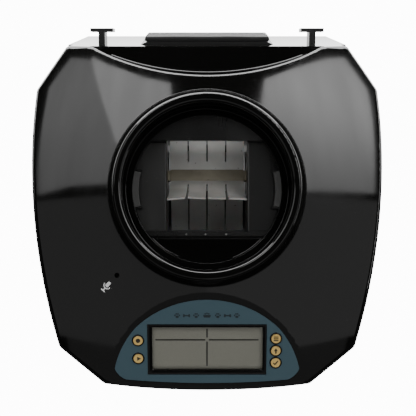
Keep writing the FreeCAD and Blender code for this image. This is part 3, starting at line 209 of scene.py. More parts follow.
def join(name, pieces):
    clear()
    for piece in pieces:
        piece.select_set(True)
    bpy.context.view_layer.objects.active = pieces[0]
    bpy.ops.object.join()
    return started(name)


def copy_of(piece, name):
    twin = piece.copy()
    twin.data = piece.data.copy()
    twin.name = name
    twin.data.name = name
    bpy.context.scene.collection.objects.link(twin)
    return twin


def put(piece, turn, at):
    """Turn a finished piece about the origin and carry it to its place."""
    take(piece)
    piece.rotation_euler = turn
    piece.location = at
    settle(piece)
    return piece


def swept_ring(name, profile, start, sweep, steps):
    """Spin a profile of (radius, height) corners about the vertical axis, anticlockwise from start."""
    clear()
    bpy.ops.mesh.primitive_plane_add(size=0.001)
    piece = started(name)
    edit()
    bpy.ops.mesh.select_mode(type="VERT")
    select_everything()
    bpy.ops.mesh.merge(type="CENTER")
    spots = [Vector((r * math.cos(start), r * math.sin(start), z)) for r, z in profile]
    bpy.ops.transform.translate(value=spots[0])
    for before, after in zip(spots, spots[1:]):
        bpy.ops.mesh.extrude_region_move(TRANSFORM_OT_translate={"value": after - before})
    select_everything()
    bpy.ops.mesh.edge_face_add()
    full = abs(sweep - math.tau) < 1e-6
    if full:
        bpy.ops.mesh.delete(type="ONLY_FACE")
        select_everything()
    bpy.ops.mesh.spin(steps=steps, angle=-sweep, center=(0, 0, 0), axis=(0, 0, 1))
    leave_edit()
    recalculate(piece)
    return piece


def arc(centre, radius, first, last, steps):
    """Corners along an arc, with its angles in degrees."""
    spots = []
    for n in range(steps + 1):
        angle = math.radians(first + (last - first) * n / steps)
        spots.append((centre[0] + radius * math.cos(angle), centre[1] + radius * math.sin(angle)))
    return spots


def give(piece, finish, body, slot, *replaced):
    """Give the piece its finish, the body it rides and the CAD pieces it stands for; its slot is not used.
    """
    piece.data.materials.clear()
    piece.data.materials.append(finish)
    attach(piece, body)
    if replaced:
        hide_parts(*replaced)


# --- effects shared by the finishes ---


OUTPUTS = {"Colour": "NodeSocketColor", "Roughness": "NodeSocketFloat", "Height": "NodeSocketFloat"}


def new_group(name, inputs):
    """A shared effect, which takes a place and the given values."""
    tree = bpy.data.node_groups.new(name, "ShaderNodeTree")
    tree.interface.new_socket("Vector", in_out="INPUT", socket_type="NodeSocketVector")
    for label, value in inputs.items():
        coloured = isinstance(value, tuple)
        kind = "NodeSocketColor" if coloured else "NodeSocketFloat"
        socket = tree.interface.new_socket(label, in_out="INPUT", socket_type=kind)
        socket.default_value = (*value, 1) if coloured else value
    for label, kind in OUTPUTS.items():
        tree.interface.new_socket(label, in_out="OUTPUT", socket_type=kind)
    return tree, tree.nodes.new("NodeGroupInput").outputs


def put_out(tree, *results):
    """Close a shared effect with its colour, roughness and height."""
    outs = tree.nodes.new("NodeGroupOutput")
    for label, result in zip(OUTPUTS, results):
        tree.links.new(result, outs.inputs[label])
    return tree


def noise(tree, vector, scale, detail=3.0):
    node = tree.nodes.new("ShaderNodeTexNoise")
    node.inputs["Detail"].default_value = detail
    node.inputs["Roughness"].default_value = 0.55
    tree.links.new(vector, node.inputs["Vector"])
    if isinstance(scale, (int, float)):
        node.inputs["Scale"].default_value = scale
    else:
        tree.links.new(scale, node.inputs["Scale"])
    return node.outputs["Fac"]


def math_node(tree, operation, first, second=None, third=None):
    node = tree.nodes.new("ShaderNodeMath")
    node.operation = operation
    for place, value in enumerate((first, second, third)):
        if value is None:
            continue
        if isinstance(value, (int, float)):
            node.inputs[place].default_value = value
        else:
            tree.links.new(value, node.inputs[place])
    return node.outputs[0]


def ramp_between(tree, value, low, high):
    """0 below low, 1 above high, eased between."""
    node = tree.nodes.new("ShaderNodeMapRange")
    node.interpolation_type = "SMOOTHSTEP"
    node.inputs["From Min"].default_value = low
    node.inputs["From Max"].default_value = high
    tree.links.new(value, node.inputs["Value"])
    return node.outputs["Result"]


def blend_colour(tree, amount, first, second):
    node = tree.nodes.new("ShaderNodeMix")
    node.data_type = "RGBA"
    tree.links.new(amount, node.inputs[0])
    for socket, value in ((node.inputs[6], first), (node.inputs[7], second)):
        if isinstance(value, tuple):
            socket.default_value = (*value, 1)
        else:
            tree.links.new(value, socket)
    return node.outputs[2]


def stretched(tree, vector, scale):
    node = tree.nodes.new("ShaderNodeMapping")
    node.inputs["Scale"].default_value = scale
    tree.links.new(vector, node.inputs["Vector"])
    return node.outputs["Vector"]


def axis_of(tree, place, axis):
    node = tree.nodes.new("ShaderNodeSeparateXYZ")
    tree.links.new(place, node.inputs[0])
    return node.outputs[axis]


def mix_surfaces(tree, amount, first, second):
    node = tree.nodes.new("ShaderNodeMixShader")
    for socket, source in zip(node.inputs, (amount, first, second)):
        tree.links.new(source, socket)
    return node.outputs[0]


def handled_plastic_group():
    """Moulded plastic that has been wiped: smears, hairline scuffs and settled dust."""
    tree, ins = new_group("handled_plastic", {
        "Colour": (0.01, 0.01, 0.01), "Dust Colour": (0.3, 0.29, 0.27), "Gloss Roughness": 0.1,
        "Smears": 0.05, "Scuffs": 0.2, "Dust": 0.1, "Grain": 900.0,
    })
    vector = ins["Vector"]
    broad = noise(tree, stretched(tree, vector, (1.0, 0.35, 1.0)), 26.0, 4.0)
    smear = ramp_between(tree, broad, 0.35, 0.72)
    fine = noise(tree, stretched(tree, vector, (1.0, 0.06, 1.0)), 620.0, 2.0)
    cross = noise(tree, stretched(tree, vector, (0.05, 1.0, 0.6)), 540.0, 2.0)
    fine = ramp_between(tree, fine, 0.69, 0.78)
    lines = math_node(tree, "MAXIMUM", fine, ramp_between(tree, cross, 0.71, 0.8))
    patches = ramp_between(tree, noise(tree, vector, 17.0, 2.0), 0.5, 0.66)
    scuff = math_node(tree, "MULTIPLY", lines, patches)
    scuff = math_node(tree, "MULTIPLY", scuff, ins["Scuffs"])
    flecks = ramp_between(tree, noise(tree, vector, 1500.0, 1.0), 0.72, 0.8)
    settled = math_node(tree, "MULTIPLY", flecks, ins["Dust"])
    rough = math_node(tree, "MULTIPLY_ADD", smear, ins["Smears"], ins["Gloss Roughness"])
    rough = math_node(tree, "MULTIPLY_ADD", scuff, 0.35, rough)
    rough = math_node(tree, "MULTIPLY_ADD", settled, 0.5, rough)
    dusty = math_node(tree, "ADD", settled, math_node(tree, "MULTIPLY", scuff, 0.06))
    colour = blend_colour(tree, dusty, ins["Colour"], ins["Dust Colour"])
    grain = noise(tree, vector, ins["Grain"], 2.0)
    return put_out(tree, colour, rough, math_node(tree, "MULTIPLY_ADD", scuff, -0.6, grain))


def drawn_metal_group():
    """Drawn or ground metal: fine lines one way, with a few dull spots."""
    tree, ins = new_group("drawn_metal", {
        "Colour": (0.5, 0.5, 0.5), "Dull Colour": (0.3, 0.3, 0.3), "Line Scale": 700.0,
    })
    vector = ins["Vector"]
    lines = noise(tree, stretched(tree, vector, (0.05, 1.0, 1.0)), ins["Line Scale"], 3.0)
    spots = ramp_between(tree, noise(tree, vector, 210.0, 4.0), 0.5, 0.75)
    colour = blend_colour(tree, spots, ins["Colour"], ins["Dull Colour"])
    rough = math_node(tree, "MULTIPLY_ADD", lines, 0.2, 0.16)
    return put_out(tree, colour, math_node(tree, "MULTIPLY_ADD", spots, 0.16, rough), lines)


def mottled_group():
    """Mottled colour with small specks, for rubber, nylon, felt and board."""
    tree, ins = new_group("mottled", {
        "Colour": (0.5, 0.5, 0.5), "Second Colour": (0.4, 0.4, 0.4), "Speck Colour": (0.1, 0.08, 0.06),
        "Mottle Scale": 80.0, "Specks": 0.5, "Base Roughness": 0.5, "Grain": 1200.0,
    })
    vector = ins["Vector"]
    cloud = ramp_between(tree, noise(tree, vector, ins["Mottle Scale"], 5.0), 0.3, 0.7)
    colour = blend_colour(tree, cloud, ins["Colour"], ins["Second Colour"])
    specks = ramp_between(tree, noise(tree, vector, 430.0, 1.0), 0.73, 0.79)
    specks = math_node(tree, "MULTIPLY", specks, ins["Specks"])
    colour = blend_colour(tree, specks, colour, ins["Speck Colour"])
    rough = math_node(tree, "MULTIPLY_ADD", cloud, 0.1, ins["Base Roughness"])
    rough = math_node(tree, "MULTIPLY_ADD", specks, 0.2, rough)
    return put_out(tree, colour, rough, noise(tree, vector, ins["Grain"], 3.0))


PLASTIC = handled_plastic_group()
METAL = drawn_metal_group()
MOTTLED = mottled_group()

# --- finishes ---


# the strength and depth of each grain in the surface
POLISH = (0.03, 0.0002)
SATIN = (0.12, 0.00004)
MOULDED = (0.2, 0.00005)
COARSE = (0.25, 0.00006)
SHELL_BLACK = (0.0032, 0.0032, 0.003)
SILICONE = {"Subsurface Weight": 0.12, "Subsurface Scale": 0.002}


def blank(name):
    material = bpy.data.materials.new(name)
    material.use_nodes = True
    return material, material.node_tree


def new_finish(name, effect, values, bump, shader=()):
    """A finish whose colour, roughness and surface come from one of the shared effects."""
    material, tree = blank(name)
    surface = tree.nodes["Principled BSDF"]
    place = tree.nodes.new("ShaderNodeTexCoord")
    group = tree.nodes.new("ShaderNodeGroup")
    group.node_tree = effect
    tree.links.new(place.outputs["Object"], group.inputs["Vector"])
    for label, value in values.items():
        group.inputs[label].default_value = (*value, 1) if isinstance(value, tuple) else value
    lift = tree.nodes.new("ShaderNodeBump")
    lift.inputs["Strength"].default_value = bump[0]
    lift.inputs["Distance"].default_value = bump[1]
    tree.links.new(group.outputs["Height"], lift.inputs["Height"])
    tree.links.new(group.outputs["Colour"], surface.inputs["Base Color"])
    tree.links.new(group.outputs["Roughness"], surface.inputs["Roughness"])
    tree.links.new(lift.outputs["Normal"], surface.inputs["Normal"])
    for label, value in dict(shader).items():
        surface.inputs[label].default_value = value
    return material


def grey(level):
    return (level, level, level)


def plastic(
    name, colour, rough, smears=0.05, scuffs=0.2, dust=0.1, grain=900.0, bump=(0.05, 0.00002), shader=()
):
    values = {
        "Colour": colour, "Gloss Roughness": rough, "Smears": smears,
        "Scuffs": scuffs, "Dust": dust, "Grain": grain,
    }
    return new_finish(name, PLASTIC, values, bump, shader)


def metal(name, colour, dull, scale=700.0):
    values = {"Colour": colour, "Dull Colour": dull, "Line Scale": scale}
    return new_finish(name, METAL, values, (0.15, 0.00003), {"Metallic": 1.0})


def mottled(
    name, colour, second, speck, rough, specks=0.4, scale=80.0, grain=1200.0, bump=MOULDED, shader=()
):
    values = {
        "Colour": colour, "Second Colour": second, "Speck Colour": speck, "Base Roughness": rough,
        "Specks": specks, "Mottle Scale": scale, "Grain": grain,
    }
    return new_finish(name, MOTTLED, values, bump, shader)


finishes = {
    "shell_gloss": plastic("polished_shell", SHELL_BLACK, 0.055, 0.05, 0.35, 0.05, 55.0, POLISH),
    "ledge_gloss": plastic("polished_ledge", SHELL_BLACK, 0.07, 0.05, 0.3, 0.05, 55.0, POLISH),
    "hook_matte": plastic("textured_hooks", grey(0.014), 0.36, 0.08, 0.3, 0.2, 2200.0, COARSE),
    "frame_black": plastic("satin_frame", grey(0.004), 0.15, 0.05, 0.2, 0.1, 1500.0, (0.1, 0.00003)),
    "component_black": plastic("moulded_fittings", grey(0.018), 0.42, 0.06, 0.2, 0.15, 1800.0, MOULDED),
    "throat_black": plastic("satin_throat", (0.0085, 0.0085, 0.0083), 0.24, 0.1, 0.5, 0.1, 1300.0, SATIN),
    "bay_plastic": plastic("moulded_bay", (0.02, 0.02, 0.021), 0.45, 0.06, 0.2, 0.15, 1600.0, MOULDED),
    "panel_film": plastic(
        "printed_film", (0.042, 0.082, 0.103), 0.4, 0.05, 0.15, 0.06, 2600.0, (0.12, 0.00003),
    ),
    "button_cream": plastic(
        "cream_keys", (0.66, 0.45, 0.14), 0.34, 0.06, 0.15, 0.08, 1500.0, (0.06, 0.00002),
    ),
    "flap_silicone": mottled(
        "silicone_fingers", (0.68, 0.675, 0.655), (0.6, 0.595, 0.57), (0.12, 0.09, 0.06), 0.4, 0.75,
        60.0, 900.0, COARSE, {**SILICONE, "Sheen Weight": 0.1},
    ),
    "hub_nylon": mottled(
        "hub_nylon", (0.27, 0.245, 0.18), (0.2, 0.175, 0.125), (0.06, 0.04, 0.025), 0.42, 0.7, 70.0,
    ),
    "bush_nylon": mottled("bush_nylon", (0.6, 0.6, 0.56), (0.52, 0.52, 0.48), (0.3, 0.28, 0.24), 0.4),
    "gear_nylon": mottled("gear_acetal", (0.62, 0.61, 0.57), (0.55, 0.54, 0.5), (0.2, 0.19, 0.16), 0.34),
    "pad_foam": mottled(
        "felt_pad", grey(0.006), grey(0.012), (0.05, 0.048, 0.044), 0.9, 0.35, 240.0, 2400.0,
        (0.9, 0.0003), {"Sheen Weight": 0.1, "Sheen Roughness": 0.6},
    ),
    "speaker_paper": mottled("cone_paper", grey(0.02), grey(0.03), (0.08, 0.08, 0.075), 0.8),
    "circuit_board": mottled(
        "solder_mask", (0.012, 0.085, 0.035), (0.01, 0.065, 0.03), (0.45, 0.42, 0.3), 0.3, 0.5, 300.0,
    ),
    "cell_jacket": mottled(
        "cell_jacket", (0.28, 0.17, 0.05), (0.24, 0.14, 0.04), (0.4, 0.36, 0.3), 0.28, 0.2, 30.0,
    ),
    "component_metal": metal("pressed_steel", (0.46, 0.46, 0.45), (0.3, 0.3, 0.29)),
    "screw_steel": metal("zinc_plate", (0.5, 0.5, 0.49), (0.33, 0.33, 0.31), 1100.0),
    "shaft_steel": metal("ground_steel", (0.56, 0.56, 0.55), (0.4, 0.4, 0.39), 1500.0),
    "motor_can": metal("motor_steel", (0.5, 0.5, 0.49), (0.36, 0.36, 0.35)),
    "contact_plate": metal("nickel_plate", (0.62, 0.6, 0.55), (0.44, 0.42, 0.38), 900.0),
    "lcd": plastic("liquid_crystal", (0.23, 0.228, 0.19), 0.34, 0.03, 0.05, 0.02, 900.0, (0.02, 0.00002)),
    "lens": plastic(
        "screen_cover", grey(0.03), 0.05, 0.03, 0.2, 0.05, 900.0, (0.01, 0.00001), {"Alpha": 0.07},
    ),
}
# a darker copy of the fingers' silicone for the second flap: painted shade, standing in for the shade that
# row lies in
painted_shade_silicone = mottled(
    "painted_shade_fingers", (0.37, 0.365, 0.35), (0.3, 0.295, 0.28), (0.1, 0.08, 0.06), 0.36, 0.8, 60.0, 900.0,
    COARSE, SILICONE,
)
white_print = plastic("white_print", grey(0.75), 0.45, 0.05, 0.1, 0.02, 1500.0)
dark_print = plastic("dark_print", (0.02, 0.016, 0.012), 0.5, 0.05, 0.1, 0.02, 1500.0)
panel_print = plastic("panel_print", (0.012, 0.018, 0.022), 0.5, 0.05, 0.1, 0.02, 1500.0)
segment_ink = plastic("segment_ink", (0.01, 0.01, 0.009), 0.4, 0.04, 0.1, 0.02, 1500.0)
# a lighter grey satin for the mouth edges, the tab caps and the sill studs
tab_satin = plastic("lighter_grey_tab", (0.05, 0.05, 0.049), 0.28, 0.12, 0.8, 0.35, 1300.0, SATIN)
# a lighter satin for the left facing: painted reflected light on its surface, with real scuffs
scuffs_and_painted_light_satin = plastic("scuffs_and_painted_light_facing", (0.0165, 0.0165, 0.016), 0.26, 0.2, 1.0, 0.2, 1300.0, SATIN)
# a pale grey satin for the three pips on the front lip
pale_edge = plastic("pale_grey_pips", (0.16, 0.16, 0.155), 0.3, 0.12, 0.5, 0.2, 1300.0, SATIN)
mic_gauze = plastic("mic_gauze", grey(0.004), 0.7, 0.05, 0.1, 0.05, 2600.0, (0.3, 0.00008))

slot_of = {row["node"]: row["material_slot"] for row in frame["record"]["subparts"]}
for name, node in nodes.items():
    node.data.materials.clear()
    node.data.materials.append(finishes[slot_of[name]])
nodes["mic_capsule"].data.materials[0] = mic_gauze

# --- where things are ---

hub_low, hub_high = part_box("rotor_hub")
rotor_y = (hub_low.y + hub_high.y) / 2
rotor_z = (hub_low.z + hub_high.z) / 2
hub_half = hub_high.x
ROTOR_TURN = 30.0

TILT = math.radians(20.0)
SCREEN_SLOPE = 40.1 * MM
LENS_LIFT = -2.8 * MM
FRAME_HALF_WIDTH = 39.8 * MM
FRAME_HALF_HEIGHT = 17.9 * MM
facet_turn = Matrix.Rotation(TILT, 4, "X")
lens_low, lens_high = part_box("screen_lens")
facet_origin = (lens_low + lens_high) / 2 - facet_turn @ Vector((0, -SCREEN_SLOPE, LENS_LIFT))

DOME_RADIUS = 393.0 * MM
DOME_TOP = 107.6 * MM
COLLAR_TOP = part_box("top_shell")[1].z


def dome_height(x, y):
    return DOME_TOP - DOME_RADIUS + math.sqrt(DOME_RADIUS**2 - x * x - y * y)


def on_display(piece):
    """Carry a piece modelled flat to the sloping display."""
    return put(piece, (TILT, 0, 0), facet_origin)


# --- hopper collar ---


def make_collar_lip():
    """The collar's rolled lip, drawn finely enough for its highlights to run clean."""
    top = COLLAR_TOP - 0.02 * MM
    foot = 66.3 * MM
    outer = [(foot, dome_height(foot, 0) + 0.05 * MM), (65.0 * MM, 104.6 * MM), (63.7 * MM, 107.0 * MM)]
    crest = arc((60.7 * MM, top - 2.6 * MM), 2.6 * MM, 28, 90, 9)
    inner = arc((58.9 * MM, top - 2.55 * MM), 2.55 * MM, 90, 180, 12)
    back = [(56.32 * MM, 100.0 * MM), (57.5 * MM, 99.5 * MM), (64.6 * MM, 99.5 * MM)]
    ring = swept_ring("collar_lip", outer + crest + inner + back, 0, math.tau, 192)
    give(smooth(ring, 50), finishes["shell_gloss"], "head", "shell_gloss")


def make_round_bead(name, radius, height, thickness, steps):
    """A bead all the way round, drawn finely enough for its highlight to run clean."""
    ring = swept_ring(name, arc((radius, height), thickness, 0, 330, 11), 0, math.tau, steps)
    give(smooth(ring, 60), finishes["shell_gloss"], "head", "shell_gloss")


# --- throat ---

throat_low, throat_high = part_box("feed_throat")
BACK_PLATE = throat_high.z
SIDE_PLATE = BACK_PLATE - 4 * MM
FRONT_PLATE = BACK_PLATE - 7 * MM


def make_gasket():
    """The glossy ring that seals round the throat, with a finely rounded inner edge."""
    top = BACK_PLATE + 0.2 * MM
    edge = arc((50.65 * MM, top - 0.25 * MM), 0.25 * MM, 180, 90, 4)
    foot = FRONT_PLATE - 0.5 * MM
    profile = [(50.4 * MM, foot), *edge, (54.3 * MM, top), (54.3 * MM, foot)]
    ring = swept_ring("gasket", profile, 0, math.tau, 144)
    give(smooth(ring, 50), finishes["shell_gloss"], "head", "throat_black")


def make_throat_ribs():
    """Two curved ribs along the front plate's rim."""
    ribs = []
    for first, last in ((222.0, 247.0), (291.0, 318.0)):
        crown = arc((49.6 * MM, FRONT_PLATE + 0.7 * MM), 0.75 * MM, 0, 180, 8)
        profile = [(50.35 * MM, FRONT_PLATE - 0.5 * MM), *crown, (48.85 * MM, FRONT_PLATE - 0.5 * MM)]
        rib = swept_ring("rib", profile, math.radians(first), math.radians(last - first), 24)
        ribs.append(smooth(rib, 50))
    whole = join("throat_ribs", ribs)
    give(whole, finishes["shell_gloss"], "head", "throat_black")


FACING_RADIUS = 50.2 * MM
FACING_THICK = 0.8 * MM
FACING_RISE = 0.3 * MM


def trimmed_disc(name, foot, planes):
    """A thin plate cut from a disc by upright planes, each given as a place and a direction."""
    centre = (0, 0, foot + FACING_RISE - FACING_THICK / 2)
    plate = new_rod(name, FACING_RADIUS, FACING_THICK, centre, 120)
    edit()
    for place, direction in planes:
        select_everything()
        bpy.ops.mesh.bisect(plane_co=place, plane_no=direction, clear_outer=True, use_fill=True)
    leave_edit()
    recalculate(plate)
    return smooth(ease(plate, 0.2 * MM, 2), 50)


def make_throat_facings():
    """The wear plates each side of the feed opening, and the polished apron in front of it."""
    # the left facing gets the lighter satin and the right the throat's own: painted reflected light on the
    # left
    for side, label, finish in ((-1, "left", scuffs_and_painted_light_satin), (1, "right", finishes["throat_black"])):
        planes = [
            ((side * 28.6 * MM, 0, 0), (-side, 0, 0)),
            ((0, 32.2 * MM, 0), (0, 1, 0)),
            ((0, -28.2 * MM, 0), (0, -1, 0)),
        ]
        facing = trimmed_disc(f"{label}_facing", SIDE_PLATE, planes)
        give(facing, finish, "head", "throat_black")
    apron = trimmed_disc("throat_apron", FRONT_PLATE, [((0, -33.6 * MM, 0), (0, 1, 0))])
    give(apron, finishes["shell_gloss"], "head", "throat_black")


def make_mouth_edges():
    """Lighter grey edges along the two sides of the feed opening."""
    edges = []
    for side, width in ((-1, 0.45 * MM), (1, 0.6 * MM)):
        bar = new_block("edge", (width, 60.2 * MM, 1.1 * MM), (side * 28.25 * MM, 2.0 * MM, SIDE_PLATE))
        edges.append(smooth(ease(bar, 0.15 * MM, 2), 50))
    whole = join("mouth_edges", edges)
    give(whole, tab_satin, "head", "throat_black")


def make_lip_pips():
    """Three small moulding pips on the front lip."""
    pips = []
    for n, x in enumerate((-14.0, -1.0, 13.0)):
        pip = new_rod(f"pip_{n}", 0.7 * MM, 0.9 * MM, (x * MM, -30.6 * MM, SIDE_PLATE + 0.1 * MM), 20)
        pips.append(smooth(ease(pip, 0.2 * MM, 3), 50))
    whole = join("lip_pips", pips)
    give(whole, pale_edge, "head", "throat_black")


def make_tab_caps():
    """Lighter grey plates on the two bayonet tabs beside the opening."""
    caps = []
    for name, first in (("right", -14.2), ("left", 165.8)):
        profile = [
            (46.3 * MM, BACK_PLATE - 2.0 * MM),
            (46.3 * MM, BACK_PLATE - 1.35 * MM),
            (50.7 * MM, BACK_PLATE - 0.9 * MM),
            (50.7 * MM, BACK_PLATE - 2.0 * MM),
        ]
        cap = swept_ring("cap", profile, math.radians(first), math.radians(28.4), 20)
        caps.append(smooth(ease(cap, 0.25 * MM, 3), 40))
    whole = join("tab_caps", caps)
    give(whole, tab_satin, "head", "throat_black")


# --- rotor ---

FLAP_HALF = 26.1 * MM
FLAP_THICK = 1.2 * MM
FLAP_ROOT = 6.1 * MM
FLAP_BASE = 12.0 * MM
FLAP_TIP = 41.9 * MM
HUB_HALF = 4.9 * MM
# each flap leaves the hub at a corner, so it stands a little to one side of the axis
FLAP_OFFSET = 1.76 * MM
SLIT = 0.95 * MM
FINGER_STEPS = 9
# how far each finger leans sideways, curls and twists at its tip, in millimetres
FINGER_SETS = {
    "rotor_flap_1": ((-0.15, 0.5, 0.1), (0.05, 0.3, -0.1), (0.0, 0.4, 0.1), (0.1, 0.2, 0.0)),
    "rotor_flap_2": ((-1.2, -2.2, -0.6), (-0.45, -2.8, 0.4), (0.0, -2.45, 0.15), (1.1, -2.1, 0.3)),
    "rotor_flap_3": ((0.1, -3.9, 0.2), (-0.05, -3.5, 0.2), (0.1, -3.8, -0.15), (0.0, -4.0, 0.1)),
    "rotor_flap_4": ((0.1, 0.6, 0.2), (-0.1, 0.3, 0.2), (0.15, 0.5, -0.1), (0.1, 0.4, 0.2)),
}


def make_flap(name, turn, fingers):
    """One silicone flap: a root strip with four separate fingers that curl and twist."""
    clear()
    bpy.ops.mesh.primitive_grid_add(x_subdivisions=7, y_subdivisions=1, size=1)
    flap = started(name.replace("rotor_", "silicone_"))
    finger = (2 * FLAP_HALF - 3 * SLIT) / 4
    across = []
    for n in range(4):
        low = -FLAP_HALF + n * (finger + SLIT)
        across += [low, low + finger]
    columns = sorted({round(corner.co.x, 4) for corner in flap.data.vertices})

    def spread(place):
        place.x = across[columns.index(round(place.x, 4))]
        place.y = FLAP_ROOT if place.y < 0 else FLAP_BASE

    reshape(flap, spread)

    def at_base_of_finger(edge):
        spot = middle(edge)
        wide = abs(edge.verts[0].co.x - edge.verts[1].co.x)
        return abs(spot.y - FLAP_BASE) < 1e-6 and wide > finger * 0.9

    edit()
    pick(at_base_of_finger, "EDGE")
    step = (FLAP_TIP - FLAP_BASE) / FINGER_STEPS
    for _ in range(FINGER_STEPS):
        bpy.ops.mesh.extrude_edges_move(TRANSFORM_OT_translate={"value": (0, step, 0)})
    leave_edit()

    def curl_fingers(place):
        if place.y < FLAP_BASE + 1e-6:
            return
        along = (place.y - FLAP_BASE) / (FLAP_TIP - FLAP_BASE)
        which = min(3, max(0, int((place.x + FLAP_HALF + SLIT / 2) / (finger + SLIT))))
        middle_x = -FLAP_HALF + which * (finger + SLIT) + finger / 2
        lean, curl, twist = (value * MM for value in fingers[which])
        offset = (place.x - middle_x) / (finger / 2)
        bend = along * along
        place.z += curl * bend + twist * offset * bend
        place.x += lean * bend
        place.y -= abs(curl) * bend * 0.05

    reshape(flap, curl_fingers)
    finish_with(flap, "SOLIDIFY", thickness=FLAP_THICK, offset=0.0)
    take(flap)
    edit()
    # the root is moulded thicker as far as the slits
    pick(lambda v: v.co.y < FLAP_BASE - 1e-5, "VERT")
    bpy.ops.transform.resize(value=(1, 1, 1.5), center_override=(0, 0, 0))
    select_everything()
    bpy.ops.transform.translate(value=(0, 0, FLAP_OFFSET))
    leave_edit()
    ease(flap, 0.16 * MM, 2)
    smooth(flap, 50)
    put(flap, (math.radians(turn), 0, 0), (0, rotor_y, rotor_z))
    # the second flap takes the darker copy of the silicone: painted shade
    finish = painted_shade_silicone if name == "rotor_flap_2" else finishes["flap_silicone"]
    give(flap, finish, "rotor", "flap_silicone", name)


def make_hub():
    """The square bar that the flaps leave by its corners, with stepped ends and a disc at each end."""
    bar = new_block("bar", (51.6 * MM, 2 * HUB_HALF, 2 * HUB_HALF))
    edit()
    for direction in ((0, 1, 0), (0, 0, 1)):
        select_everything()
        bpy.ops.mesh.bisect(plane_co=(0, 0, 0), plane_no=direction)
    # a shallow valley runs along the middle of each face
    pick(lambda v: abs(v.co.y) < 1e-5 and abs(v.co.z) > HUB_HALF * 0.9, "VERT")
    bpy.ops.transform.resize(value=(1, 1, 0.83), center_override=(0, 0, 0))
    pick(lambda v: abs(v.co.z) < 1e-5 and abs(v.co.y) > HUB_HALF * 0.9, "VERT")
    bpy.ops.transform.resize(value=(1, 0.83, 1), center_override=(0, 0, 0))
    leave_edit()
    ease(bar, 0.35 * MM, 3, 30)
    neck = ease(new_block("neck", (56.6 * MM, 7.4 * MM, 7.4 * MM)), 0.5 * MM, 3)
    parts = [bar, neck]
    disc_width = 0.85 * MM
    for side in (-1, 1):
        disc = new_rod(
            "disc", 12.95 * MM, disc_width, (side * (hub_half - disc_width / 2 - 0.02 * MM), 0, 0),
            72, (0, math.pi / 2, 0),
        )
        parts.append(ease(disc, 0.15 * MM, 2))
    hub = join("clamping_hub", parts)
    smooth(hub, 25)
    put(hub, (0, 0, 0), (0, rotor_y, rotor_z))
    give(hub, finishes["hub_nylon"], "rotor", "hub_nylon", "rotor_hub")


# --- display ---


def make_screen_frame():
    """The screen's surround, with a chamfered mouth and a deeper sill below the glass."""
    deep = 3.3 * MM
    rise = 0.2 * MM
    block = new_block(
        "screen_surround",
        (2 * FRAME_HALF_WIDTH, 2 * FRAME_HALF_HEIGHT, deep + rise),
        (0, -SCREEN_SLOPE, (rise - deep) / 2),
    )

    def central(face):
        return math.hypot(middle(face).x, middle(face).y + SCREEN_SLOPE) < 1e-5

    edit()
    pick(lambda f: f.normal.z > 0.9)
    bpy.ops.mesh.inset(thickness=1.1 * MM, depth=0)
    pick(lambda f: f.normal.z > 0.9 and central(f))
    bpy.ops.mesh.inset(thickness=1.4 * MM, depth=-1.0 * MM)
    pick(lambda f: f.normal.z < -0.9)
    bpy.ops.mesh.inset(thickness=2.5 * MM, depth=0)
    pick(lambda f: abs(f.normal.z) > 0.9 and central(f))
    bpy.ops.mesh.bridge_edge_loops()
    # the sill and the left side are a little wider than the other two sides
    low = -SCREEN_SLOPE - FRAME_HALF_HEIGHT
    pick(lambda v: low + 2.3 * MM < v.co.y < low + 2.7 * MM, "VERT")
    bpy.ops.transform.translate(value=(0, 0.5 * MM, 0))
    pick(lambda v: -FRAME_HALF_WIDTH + 2.3 * MM < v.co.x < -FRAME_HALF_WIDTH + 2.7 * MM, "VERT")
    bpy.ops.transform.translate(value=(0.6 * MM, 0, 0))
    leave_edit()
    recalculate(block)
    ease(block, 0.28 * MM, 3, 25)
    smooth(block, 35)
    on_display(block)
    give(block, finishes["frame_black"], "head", "frame_black", "display_frame")


def make_sill_studs():
    """Two small studs in the lower corners of the surround."""
    studs = []
    for side in (-1, 1):
        stud = new_rod(
            "stud", 0.55 * MM, 0.6 * MM,
            (side * 36.3 * MM, -SCREEN_SLOPE - 14.9 * MM, -1.1 * MM), 20,
        )
        studs.append(smooth(ease(stud, 0.2 * MM, 3), 50))
    whole = on_display(join("sill_studs", studs))
    give(whole, tab_satin, "head", "frame_black")


PRINT_RISE = 0.06 * MM


def flat_bar(name, width, length, at, turn=0.0, rise=PRINT_RISE):
    """A thin printed bar with eased corners."""
    bar = new_block(name, (width, length, rise), (0, 0, 0))
    take(bar)
    edit()
    pick(lambda e: abs(e.verts[0].co.z - e.verts[1].co.z) > rise / 2, "EDGE")
    bpy.ops.mesh.bevel(offset=min(width, length) * 0.35, segments=4, affect="EDGES")
    leave_edit()
    return put(bar, (0, 0, turn), at)


def make_screen_lines():
    """The dark cross on the liquid-crystal screen, with a gap where its arms would meet."""
    lift = -3.27 * MM
    line = 0.95 * MM
    cross_y = -34.4 * MM
    bars = [
        flat_bar("arm", 33.6 * MM, line, (side * 17.9 * MM, cross_y, lift)) for side in (-1, 1)
    ]
    bars.append(flat_bar("arm", line, 6.4 * MM, (0, -29.6 * MM, lift)))
    bars.append(flat_bar("arm", line, 17.6 * MM, (0, -44.4 * MM, lift)))
    whole = on_display(join("screen_lines", bars))
    give(whole, segment_ink, "head", "lcd")


def disc(name, radius, at, squeeze=1.0):
    """A thin printed disc or oval."""
    spot = new_rod(name, radius, PRINT_RISE, (0, 0, 0), 20)
    spot.scale = (1, squeeze, 1)
    settle(spot)
    return put(spot, (0, 0, 0), at)


